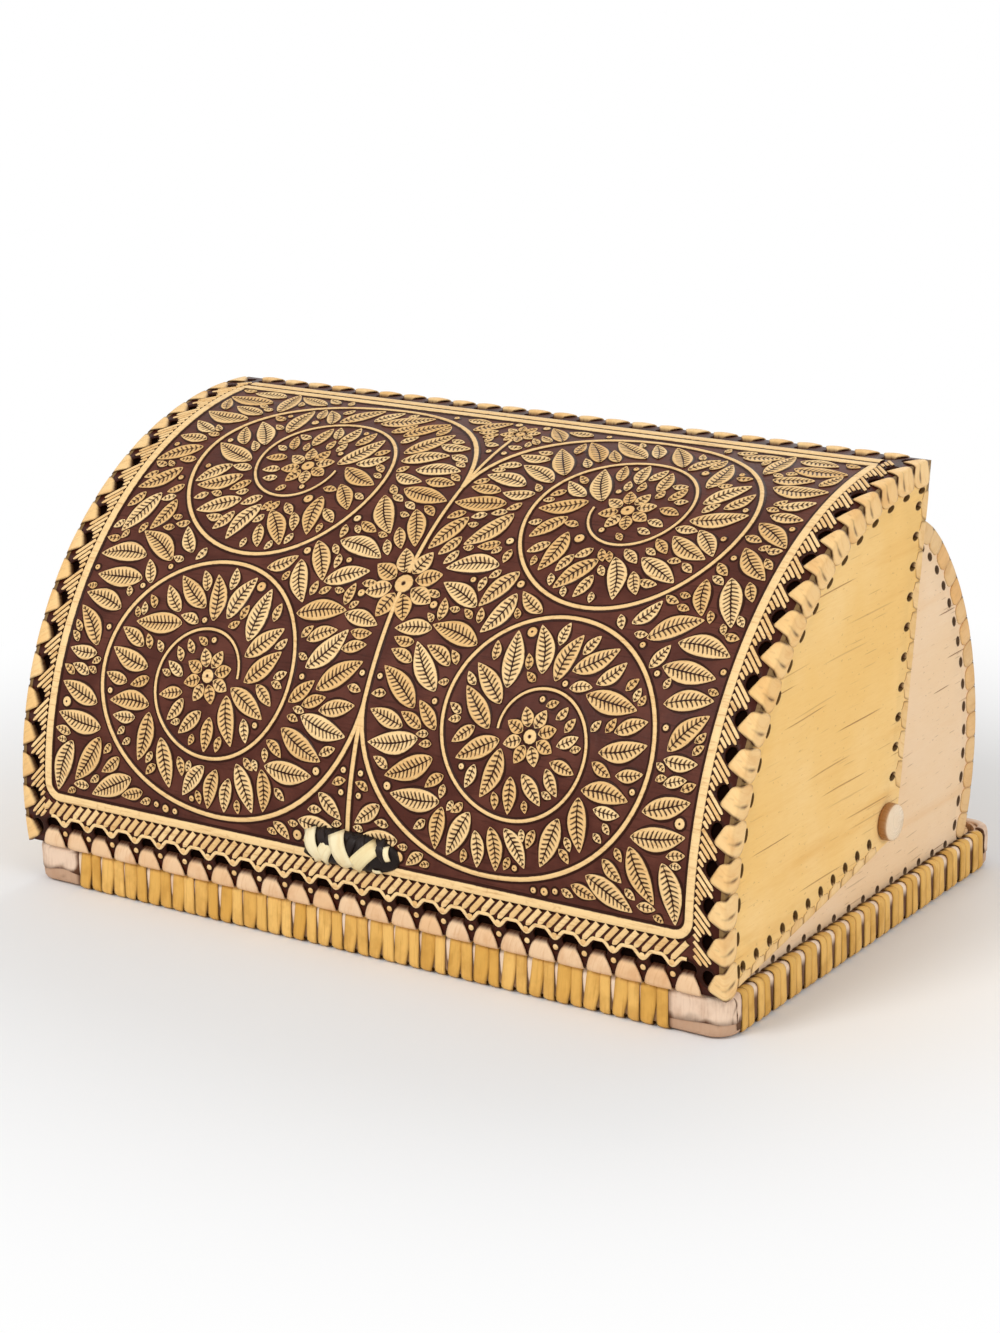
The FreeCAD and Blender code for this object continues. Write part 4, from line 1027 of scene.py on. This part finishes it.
def arc_strips(name, side, replaces):
    """Strips round the lid's curved corner, each with a pointed tip in the side."""
    build = Build()
    for v in arc_row():
        def to_space(inward, lift, along, v=v):
            return (side * (LID_HALF - inward), *about_lid(LID_RADIUS + lift, lid_turn(v + along)))
        lay_strip(build, CORNER, to_space, random.random(), random.uniform(-0.05, 0.05),
                  random.uniform(0.97, 1.01), 0.34, 0.12, CREASE_SHADE)
    build.piece(name, LID_STRIP, "lid", "lid_strips", replaces, thickness=0.4, flip=side < 0)


# straight edges of the lid's sides: start in Y and Z, direction, length, reach and pitch
LID_HEEL = 10.5
REAR_LEAN = math.radians(10)
PIVOT = (HINGE.y, HINGE.z)
TOE = (about_lid(LID_RADIUS, FRONT_TURN)[0], PANEL_LOW.z)
TOE_FAR = math.dist(PIVOT, TOE)
TOE_RISE = math.atan2(HINGE.z - TOE[1], HINGE.y - TOE[0]) - math.asin(LID_HEEL / TOE_FAR)
HEEL = off(PIVOT, LID_HEEL, -REAR_LEAN)
REAR_LENGTH = math.dist(about_lid(LID_RADIUS, REAR_TURN), HEEL)
REAR_EDGE = (HEEL, math.pi / 2 - REAR_LEAN, REAR_LENGTH, 7.6, 13.3)
UNDER_EDGE = (TOE, TOE_RISE, math.sqrt(TOE_FAR ** 2 - LID_HEEL ** 2), 6.0, 11.2)
# room kept at both ends of an edge for the corner strips and half a hole
END_ROOM = ARC_SIDE_REACH + 4.8
EDGE_HOLE = (1.85, 2.8)


def edge_places(edge):
    """Distances of the stitches along a straight edge."""
    _, _, length, _, pitch = edge
    count = math.floor((length - END_ROOM * 2) / pitch) + 1
    return [(length - (count - 1) * pitch) / 2 + index * pitch for index in range(count)]


def beside_edge(edge, along, inward):
    """Y and Z of a point in the sheet beside a straight edge."""
    start, turn = edge[:2]
    return off(off(start, along, turn), inward, turn + math.pi / 2)


def edge_strips(name, side, edge, replaces):
    """Flush strips from the ovals over a straight edge of the lid's side."""
    build = Build()
    reach, pitch = edge[3:]
    full = pitch * 0.96
    knots = ((reach - 1.2, -1.0, 2.6, 1.0, 0), (reach - 1.8, -0.1, 3.2, 0.5, 0),
             (reach - 2.5, 0.2, 5.0, 0, 0.1), (reach * 0.55, 0.3, pitch * 0.86, 0, 0.1),
             (1.4, 0.3, pitch * 0.95, 0, 0.1), (0.4, 0.3, full, 0, 0.1), (-0.4, 0.0, full, 0.1, 0.1),
             (-0.6, -0.9, full, 0.2, 0.1), (-0.4, -1.9, pitch * 0.9, 0.2, 0),
             (1.0, -2.2, pitch * 0.8, 0.1, 0), (reach - 1.4, -2.2, 5, 0.3, 0), (reach - 0.2, -1.8, 3, 1.0, 0))
    for middle in edge_places(edge):
        def to_space(inward, lift, along, middle=middle):
            return (side * (LID_HALF + lift), *beside_edge(edge, middle + along, inward))
        lay_strip(build, knots, to_space, random.random(), random.uniform(0.05, 0.3),
                  random.uniform(0.96, 1.0), 0.55, 0.4)
    build.piece(name, EDGE_STRIP, "lid", "lid_strips", replaces, thickness=0.35, flip=side > 0)


def pierced_side(side_name, side, whole, node, material, slot, outline, holes, edge_ink=None, shaded=()):
    """A flat side sheet of the lid or the body, with dark discs of painted shade at the bottoms of all its
    holes but the peg's.
    """
    face = outer_face(node, side)
    build = punched(outline, holes, SIDE_STEPS, lambda y, z: (face, y, z), *SIDE_RIM, edge_ink, shaded)
    build.piece(f"{whole}_side_sheet_{side_name}", material, whole, slot, [node], thickness=BARK,
                smooth=False, flip=side < 0)
    pits(f"{whole}_pits_{side_name}", whole, slot, [hole for hole in holes if hole[1] != PEG_HOLE],
         lambda y, z: (face - side * (BARK - PIT_GAP), y, z), SIDE_PIT)


ARC_SLIT = (1.3, 3.0)
# bands of ink along the curved edge of the lid's side: inward from the edge, ink
ARC_SHADE = ((0.25, 1.0), (2.6, 1.0), (4.6, 0.0))
SHADE_STEPS = 120


def lid_side(side_name, side):
    """The lid's flat side, dark along its curved edge, pierced for every strip."""
    node = f"lid_side_{side_name}"
    outline = flat_loops(node, outer_face(node, side))[0]
    turns = [lid_turn(v - 0.6) for v in arc_row()]
    holes = [(about_lid(LID_RADIUS - ARC_SIDE_REACH - 1.7, turn), ARC_SLIT, -turn) for turn in turns]
    for edge in (REAR_EDGE, UNDER_EDGE):
        holes += [(beside_edge(edge, along, edge[3] + 0.6), EDGE_HOLE, edge[1] + 0.25)
                  for along in edge_places(edge)]
    holes.append((PIVOT, PEG_HOLE, 0.0))
    reaches = [math.dist(point, (LID_Y, LID_Z)) for point in outline]
    far = max(reaches)
    edge_ink = [1.0 if reach > far - 0.5 else 0.0 for reach in reaches]
    shaded = [(about_lid(far - inward, lid_turn(ARC_LENGTH * k / SHADE_STEPS)), value)
              for inward, value in ARC_SHADE for k in range(1, SHADE_STEPS)]
    pierced_side(side_name, side, "lid", node, LID_SIDE_BARK, "lid_side_bark", outline, holes, edge_ink,
                 [(point, value) for point, value in shaded if inside(point, outline)])


SIDE_UNITS, SIDE_UNIT, SIDE_SLANT = 17, 13.5, 3.4
# middle and half width of the pale sliver between two units of the rim, as shares of a unit
SLIVER = {"long": (0.11, 0.16), "short": (-0.08, 0.18)}
BODY_LACE_REACH = 10.5
BODY_HOLE = (2.5, 1.6)
# how far a hole lies inside its slit of the CAD, and how clear the rim's holes stay of the others
BODY_HOLE_IN = 0.9
RIM_HOLE_CLEAR = 2.6
RIM_HOLE = (1.7, 1.7)


def mean(points):
    """The middle of some points."""
    return [sum(values) / len(points) for values in zip(*points)]


def body_side(side_name, side):
    """The body's flat side, pierced, with the strips that lace its curved back edge."""
    node = f"side_panel_{side_name}"
    face = outer_face(node, side)
    outline, *cuts = flat_loops(node, face)
    middle = mean(outline)
    holes = [(PIVOT, PEG_HOLE, 0.0)]
    strips = Build()
    for slit in [cut for cut in cuts if len(cut) < 10]:
        centre = mean(slit)
        a, b = max(zip(slit, slit[1:] + slit[:1]), key=lambda pair: math.dist(*pair))
        turn = math.atan2(b[1] - a[1], b[0] - a[0])
        out = [-math.sin(turn), math.cos(turn)]
        if out[0] * (centre[0] - middle[0]) + out[1] * (centre[1] - middle[1]) < 0:
            out = [-value for value in out]
        spot = [middle_at - BODY_HOLE_IN * way for middle_at, way in zip(centre, out)]
        holes.append((spot, BODY_HOLE, turn))

        def to_space(inward, lift, along, centre=centre, out=out):
            reach, aside = BODY_LACE_REACH + lift, along * -side
            return (side * (abs(face) - inward), centre[0] + out[0] * reach + out[1] * aside,
                    centre[1] + out[1] * reach - out[0] * aside)
        lay_strip(strips, BODY_CORNER, to_space, random.random(), random.uniform(-0.05, 0.05),
                  random.uniform(0.97, 1.02), 0.75, 0.16)
    for index in range(SIDE_UNITS + 1):
        along = (index - SIDE_UNITS / 2 + SLIVER["short"][0]) * SIDE_UNIT - SIDE_SLANT
        spot = (side * along, BASE_HEIGHT + 1.0)
        clear = all(depth_in(spot, hole, RIM_HOLE_CLEAR) > 1 for hole in holes)
        if clear and all(inside(point, outline) for point in oval(spot, (2.2, 2.0))):
            holes.append((spot, RIM_HOLE, 0.0))
    pierced_side(side_name, side, "body", node, BODY_BARK, "body_bark", outline, holes)
    strips.piece(f"body_edge_strips_{side_name}", BODY_STRIP, "body", "lacing_strips",
                 [f"body_lacing_{side_name}"], thickness=0.45)


for side_name, side in SIDES:
    arc_strips(f"lid_corner_strips_{side_name}", side, [f"lid_arc_lacing_{side_name}"])
    edge_strips(f"lid_edge_strips_{side_name}", side, REAR_EDGE, [f"lid_edge_lacing_{side_name}"])
    edge_strips(f"lid_under_strips_{side_name}", side, UNDER_EDGE, [f"lid_under_lacing_{side_name}"])
    lid_side(side_name, side)
    body_side(side_name, side)


# ---------------------------------------------------------------- rim

# section of a rim strip: in from the rim's outer face and up, from the seam over the top and round
RIM_SECTION = ((5.1, 17.6), (4.9, 18.6), (4.2, 18.95), (2.9, 19.0), (1.7, 18.75), (0.8, 18.1), (0.25, 17.1),
               (0.0, 15.6), (0.0, 12.4), (0.0, 9.4), (0.0, 6.4), (0.0, 3.4), (0.2, 1.8), (0.9, 0.8),
               (2.0, 0.45), (3.4, 0.35), (4.8, 0.5), (5.2, 1.3), (5.3, 9.0))
RIM_DEPTH = 4.6
RIM_MIDDLE = 9.5
RIM_FOOT = 3
FRONT_UNITS, FRONT_UNIT = 23, 14.05
# edges of a unit's two strips, as shares of it: at the top, at the bottom and how late they part
RIM_PAIR = {"long": (((0.22, 0.02, 1.0), (0.605, 0.395, 2.2)), ((0.61, 0.57, 1.4), (0.98, 0.955, 1.0))),
            "short": (((0.07, 0.04, 1.0), (0.43, 0.44, 1.0)), ((0.44, 0.45, 1.0), (0.765, 0.85, 1.4)))}


def rim_place(side, along, inward, up):
    """A point of the rim. Along runs to the right as seen from outside."""
    if side in ("front", "back"):
        hand = 1 if side == "front" else -1
        return (hand * along, -hand * (BASE_HALF_Y - inward), up)
    hand = 1 if side == "right" else -1
    return (hand * (BASE_HALF_X - inward), hand * along, up)


ACROSS = (-1, -0.5, 0, 0.5, 1)
STRIP_CURL = 0.34
STRIP_NUDGE = 0.022
# height of a sliver's lower end, below which it is painted dark with the shade of the gap, long and short
SLIVER_END = {"long": 10.5, "short": 17}


def rim_strip(build, side, start, unit, edges, slant, close):
    """One split strip of a unit, which parts from its mate towards the bottom and slants over the top."""
    rows, inks = [], []
    nudges = [random.uniform(-STRIP_NUDGE, STRIP_NUDGE) for _ in range(4)]
    depth = random.uniform(0.0, 0.25)
    for inward, up in RIM_SECTION:
        low = 1 - min(1.0, up / (BASE_HEIGHT - RIM_FOOT))
        outer = 1 - min(1, inward / RIM_DEPTH)
        over = up > RIM_MIDDLE
        left, right = (start + unit * (high_at + nudge + (low_at - high_at + bend) * low ** late)
                       for (high_at, low_at, late), nudge, bend in zip(edges, nudges[:2], nudges[2:]))
        left -= unit * close * (1 - low)
        middle = (left + right) / 2 - slant * (1 - outer) * (1 if over else -0.6)
        size = (right - left) * (1 - (1 - outer) * (0.38 if slant > 1 else 0.1))
        # painted shade: dark inside the seam, along the borders and more so towards the bottom where the
        # mates part, and underneath
        seam = 1.0 if inward > 4 else 0.45 if inward > 2.8 and over else 0.0
        row, dark = [], []
        for t in ACROSS:
            push = depth + STRIP_CURL * (t * t if up > 0.4 else 1)
            row.append(rim_place(side, middle + t * size / 2, inward + push * outer,
                                 up - push * (1 - outer) * (1 if over else -1)))
            dark.append(seam + (0.25 + 0.4 * low if abs(t) == 1 else 0.0) + (0.3 if up < 1.5 else 0))
        rows.append(row)
        inks.append(dark)
    build.grid(rows, inks, random.random(), closed=True, seed=random.uniform(0, 90))


def rim_sliver(build, side, start, unit, slant, run):
    """The pale sliver that shows between two units, painted dark with shade towards the seam and below its
    end.
    """
    rows, inks = [], []
    shift, half = SLIVER[run]
    for inward, up in (knot for knot in RIM_SECTION if knot[1] > RIM_FOOT and knot[0] < 5.2):
        share = (up - RIM_FOOT) / (BASE_HEIGHT - RIM_FOOT)
        middle = start + unit * shift - slant * min(1, inward / RIM_DEPTH)
        reach = unit * half * (0.5 + 0.5 * share)
        rows.append([rim_place(side, middle + t * reach, inward + 0.7, up - 0.7) for t in ACROSS])
        # painted shade in the gap below the sliver's end and towards the seam
        low = min(1, max(0, (SLIVER_END[run] - up) / 3.5))
        inks.append([max(edge, 0.95 * low, 0.95 * (inward > 2.6)) for edge in (0.9, 0.1, 0, 0, 0.35)])
    build.grid(rows, inks, random.random(), seed=random.uniform(0, 90))


def rim_strips(side, units, unit, slant, material, run):
    """A pair of split strips and a sliver to each unit of one side of the rim."""
    build, slivers = Build(), Build()
    for index in range(units):
        start = (index - units / 2) * unit
        close = random.uniform(0.02, 0.17) if run == "long" else 0.0
        for edges, pull_in in zip(RIM_PAIR[run], (close, 0)):
            rim_strip(build, side, start, unit, edges, slant, pull_in)
        rim_sliver(slivers, side, start, unit, slant, run)
    build.piece(f"rim_strips_{side}", material, "body", "rim_strips", [f"rim_binding_{side}"], thickness=0.6)
    slivers.piece(f"rim_slivers_{side}", SLIVER_BARK, "body", "rim_strips", thickness=0.3)


for rim_side in ("front", "back"):
    rim_strips(rim_side, FRONT_UNITS, FRONT_UNIT, 0.8, RIM_STRIP, "long")
for rim_side in ("left", "right"):
    rim_strips(rim_side, SIDE_UNITS, SIDE_UNIT, SIDE_SLANT, RIM_SIDE_STRIP, "short")


# bark folded over each corner: it reaches far along the front and only just round the side
PATCH_ROUND = 11.0
PATCH_FRONT = BASE_HALF_X - FRONT_UNITS * FRONT_UNIT / 2 + 0.4
PATCH_SIDE = 12.0


def corner_route(side_x, side_y, inward):
    """Points round a corner of the rim, from its long side to its short one."""
    cx, cy = side_x * (BASE_HALF_X - PATCH_ROUND), side_y * (BASE_HALF_Y - PATCH_ROUND)
    radius = PATCH_ROUND - inward
    straight = side_x * (PATCH_FRONT - PATCH_ROUND)
    route = [(cx - straight * (1 - k / 5), cy + side_y * radius) for k in range(5)]
    for k in range(15):
        x, y = off((0, 0), radius, math.pi / 2 * (1 - k / 14))
        route.append((cx + side_x * x, cy + side_y * y))
    return route + [(cx + side_x * radius, cy - side_y * (PATCH_SIDE - PATCH_ROUND))]


def patch_layer(build, side_x, side_y, layer, section, sink, tint):
    """One layer of a corner's bark, a little crumpled. The upper layer's lower edge is torn."""
    rows, inks = [], []
    for level, (inward, up) in enumerate(section):
        route = corner_route(side_x, side_y, inward + (sink if inward < 3 else 0))
        edge = layer and level == len(section) - 1
        between = 1 < up < 18
        row, dark = [], []
        for k, (x, y) in enumerate(route):
            spot = Vector((x * 0.09, y * 0.09, up * 0.16 + layer * 5))
            wave, fine = noise.noise(spot), noise.noise(spot * 3.1)
            pull_in = 0.3 * abs(wave) + 0.3 * abs(fine) if between else 0
            row.append((x - math.copysign(pull_in, x), y - math.copysign(pull_in, y),
                        up + (wave * 1.6 if edge else 0) - (sink if up > 17 else 0)))
            # painted shade: dark at the ends against the strips, under the upper layer's torn edge and in the
            # folds; the fine mottle is the bark's own
            fold = max(0.0, math.sin((x * side_x + y * side_y) * 0.42 + up * 0.7 + wave * 4)) ** 10
            dark.append((0.8 if k in (0, len(route) - 1) else 0.0) + 0.5 * max(0, fine)
                        + (0.6 if edge else 0.0) + 0.5 * fold * between)
        rows.append(row if side_x * side_y > 0 else row[::-1])
        inks.append(dark)
    build.grid(rows, inks, tint, closed=not layer, seed=random.uniform(0, 90))


def rim_corners():
    """Bark folded over each corner in two layers."""
    build = Build()
    upper = [knot for knot in RIM_SECTION if knot[1] > 6 and knot[0] < 5.15]
    for side_x, side_y in ((-1, -1), (1, -1), (-1, 1), (1, 1)):
        patch_layer(build, side_x, side_y, 0, RIM_SECTION, 0.55, 0.1)
        patch_layer(build, side_x, side_y, 1, upper, 0.0, 0.9)
    build.piece("rim_corner_bark", PATCH_BARK, "body", "corner_bark", ["rim_corners"], thickness=0.3)


rim_corners()


# ---------------------------------------------------------------- hinge pegs

PEG_HIGH = box_mm("hinge_pegs")[1]
HEAD = min(8.3, PEG_HIGH.y - HINGE.y)


def pegs():
    """Turned pegs: pale polished end grain, painted dark brown round the side."""
    build = Build()
    outer, inner = PEG_HIGH.x, LID_HALF + 0.25
    tail = outer - 22
    profile = ((outer - 0.1, 0.02, 0.0), (outer - 0.2, 2.5, 0.0), (outer - 0.5, 4.8, 0.0),
               (outer - 0.9, HEAD - 0.9, 0.0), (outer - 1.3, HEAD - 0.3, 0.2), (outer - 1.8, HEAD, 0.75),
               (outer - 2.6, HEAD + 0.1, 0.9), (inner + 0.4, HEAD + 0.2, 1.0), (inner, HEAD - 0.2, 1.0),
               (inner, 4.1, 1.0), (inner, 3.95, 0.6), (tail, 3.95, 0.3), (tail, 0.02, 0.3))
    for side in (-1, 1):
        rings = profile[::-side]
        rows = [[(side * x, *off(PIVOT, radius, TAU * k / 40)) for k in range(40)] for x, radius, _ in rings]
        build.grid(rows, [[ink] * 40 for *_, ink in rings], 0.6, around=True, seed=side * 3)
    build.piece("hinge_peg_turned", PEG_WOOD, "body", "peg_wood", ["hinge_pegs"])


pegs()


# ---------------------------------------------------------------- pull

PULL_U = 2.6
PULL_V = LID_RADIUS * (math.asin(9.8 / LID_RADIUS) - FRONT_TURN)
PULL_HALF = 26.0
PULL_RISE = 8.5


def pull_taper(x):
    """The plait's fullness along its length, 1 at the middle and 0 at the ends."""
    return max(0.0, 1 - abs(x / PULL_HALF) ** 3.2)


def over_pull(x, y):
    """How far the plait stands off the bark at a place in its own length and breadth."""
    taper = pull_taper(x)
    across = max(0.0, 1 - (y / (PULL_RISE * max(0.25, taper ** 0.5))) ** 2)
    return 0.7 + 4.0 * taper ** 0.6 * across ** 0.6


def plait_band(build, start, end, width, lift, tint, shade_at_ends=(0.5, 0.5)):
    """One visible run of a strip of the plait, from edge to edge or from under another."""
    rows, inks = [], []
    steps = 9
    turn = math.atan2(end[1] - start[1], end[0] - start[0])
    for i in range(steps + 1):
        share = i / steps
        middle = [a + (b - a) * share for a, b in zip(start, end)]
        # painted shade at the ends, where the run goes under another strip, and along its edges
        end_shade = shade_at_ends[0] * max(0, 1 - share * 6) + shade_at_ends[1] * max(0, 1 - (1 - share) * 6)
        row = []
        for t in ACROSS:
            x, y = off(middle, t * width / 2, turn + math.pi / 2)
            raised = over_pull(x, y) + lift + 0.7 * math.sin(math.pi * share) + 0.2 * (1 - t * t)
            row.append(on_lid(PULL_U + x, PULL_V + y, raised))
        rows.append(row)
        inks.append([end_shade + edge for edge in (0.3, 0, 0, 0, 0.3)])
    build.grid(rows, inks, tint, seed=random.uniform(0, 90))


# cream runs of the plait: start, end, width, lift, tint and painted shade at both ends
CREAM_RUNS = (((-15.6, -7.6), (-8.8, 2.6), 7.0, 0.5, 0.7, (0.2, 0.8)),
              ((-22.0, 6.4), (-16.0, -7.4), 7.0, 1.0, 0.9, (0.3, 0)),
              ((2.2, -7.0), (15.8, 5.4), 7.2, 0.5, 0.0, (0.2, 0.7)),
              ((-6.6, 7.4), (0.6, -7.2), 7.8, 1.0, 0.8, (0.3, 0)),
              ((20.2, 5.6), (22.0, -0.6), 2.4, 0.9, 0.6), ((13.4, -6.4), (17.6, -6.6), 1.8, 0.9, 0.6))


def pull():
    """A plait of cream and black strips over a black core that tapers at both ends."""
    core, black, cream = Build(), Build(), Build()
    rows = []
    for i in range(41):
        x = PULL_HALF * (i / 20 - 1)
        taper = pull_taper(x)
        half, rise = 0.6 + (PULL_RISE - 0.9) * taper ** 0.5, 0.4 + 4.2 * taper ** 0.6
        turns = [math.pi * j / 12 for j in range(13)]
        rows.append([on_lid(PULL_U + x, PULL_V + half * math.cos(turn), 0.2 + rise * math.sin(turn) ** 0.7)
                     for turn in turns])
    core.grid(rows, None, 0.3, seed=4)
    core.piece("pull_core", BLACK_STRIP, "lid", "plait_bark", ["pull_plait"], flip=True)
    for x in (-19.5, -9.5, 2.5, 12.5):
        plait_band(black, (x - 4.5, -6.6), (x + 1.0, 7.4), 4.8, 0.15, random.random())
        plait_band(black, (x + 3.4, 7.6), (x + 8.2, -1.0), 4.6, 0.2, random.random())
    for run in CREAM_RUNS:
        plait_band(cream, *run)
    black.piece("pull_black_strips", BLACK_STRIP, "lid", "plait_bark", thickness=0.5, flip=True)
    cream.piece("pull_cream_strips", CREAM_STRIP, "lid", "plait_bark", thickness=0.5, flip=True)


pull()


# ---------------------------------------------------------------- studio and camera

PICTURE = (1000, 1333)
FOCAL = 3108.01
AXIS = (550.53, 690.57)
YAW, PITCH, ROLL = (math.radians(value) for value in (33.604, 17.317, -1.073))
DISTANCE = 1435.5
TARGET = Vector((22.39, 0, 91.73))
SENSOR = 36
LAMP_AIM = Vector((0, 0, 0.1))
DOME_LIGHT = 0.56
FLOOR_REACH = 6.0
FLOOR_DROP = 0.0004
FLOOR_FADE = (0.22, 0.5)


def camera():
    """The photographer's camera, from its heading, its tilt and where its axis meets the picture."""
    data = bpy.data.cameras.new("camera")
    data.sensor_width = SENSOR
    data.lens = FOCAL * SENSOR / PICTURE[1]
    data.shift_x = -(AXIS[0] - PICTURE[0] / 2) / PICTURE[1]
    data.shift_y = (AXIS[1] - PICTURE[1] / 2) / PICTURE[1]
    data.clip_start, data.clip_end = 0.05, 50
    made = put_in_scene("camera", data)
    back = Vector((math.sin(YAW) * math.cos(PITCH), -math.cos(YAW) * math.cos(PITCH), math.sin(PITCH)))
    level = (-back).cross(Vector((0, 0, 1))).normalized()
    above = level.cross(-back)
    right = level * math.cos(ROLL) + above * math.sin(ROLL)
    up = above * math.cos(ROLL) - level * math.sin(ROLL)
    turned = Matrix((right, up, back)).transposed().to_4x4()
    made.matrix_world = Matrix.Translation((TARGET + back * DISTANCE) * MM) @ turned
    bpy.context.scene.camera = made


camera()


def lamp(name, place, size, power):
    """A round soft lamp aimed at the middle of the box."""
    data = bpy.data.lights.new(name, "AREA")
    data.shape = "DISK"
    data.size = size
    data.energy = power
    made = put_in_scene(name, data)
    made.location = place
    made.rotation_euler = (LAMP_AIM - Vector(place)).to_track_quat("-Z", "Y").to_euler()


lamp("key", (-0.5, -1.9, 1.7), 0.9, 25)
lamp("side", (2.1, -0.5, 1.1), 1.2, 14.5)
lamp("rear", (-0.4, 1.8, 1.6), 1.2, 8)


def ray_is_seen(nodes):
    """1 for rays that show the background itself: from the camera, in gloss or through glass."""
    path = nodes.node("LightPath")
    total = path["Is Camera Ray"]
    for key in ("Is Glossy Ray", "Is Transmission Ray"):
        total = nodes.math("MAXIMUM", total, path[key])
    return total


def surroundings():
    """A white dome that lights the box more softly than it shows."""
    world = bpy.data.worlds.new("studio")
    bpy.context.scene.world = world
    nodes = Nodes(world)
    dome = nodes.tree.nodes["Background"].inputs
    nodes.put(dome["Color"], (1, 1, 1, 1))
    nodes.put(dome["Strength"], nodes.node("Mix", {"Factor": ray_is_seen(nodes), 2: DOME_LIGHT, 3: 1.0},
                                           data_type="FLOAT")[0])


def floor():
    """A wide pale floor that takes the shadow and fades to white away from the object."""
    mesh = bpy.data.meshes.new("floor")
    corners = [(x * FLOOR_REACH, y * FLOOR_REACH, 0) for x, y in ((-1, -1), (1, -1), (1, 1), (-1, 1))]
    mesh.from_pydata(corners, [], [(0, 1, 2, 3)])
    made = put_in_scene("floor", mesh)
    made.location = (0, 0, -FLOOR_DROP)
    look = Look("floor", 0.9, 0.1)
    look.shade("Base Color", (0.86, 0.86, 0.86, 1))
    away = look.node("VectorMath", {0: look.place()}, operation="LENGTH")["Value"]
    faded = look.math("MULTIPLY", look.span(away, *FLOOR_FADE), ray_is_seen(look))
    glow = look.node("Emission", {"Color": (1, 1, 1, 1)})["Emission"]
    mix = look.node("MixShader", {"Fac": faded, 1: look.shader.outputs["BSDF"], 2: glow})["Shader"]
    look.put(look.tree.nodes["Material Output"].inputs["Surface"], mix)
    mesh.materials.append(look.material)


surroundings()
floor()
bpy.context.scene.view_settings.view_transform = "Standard"
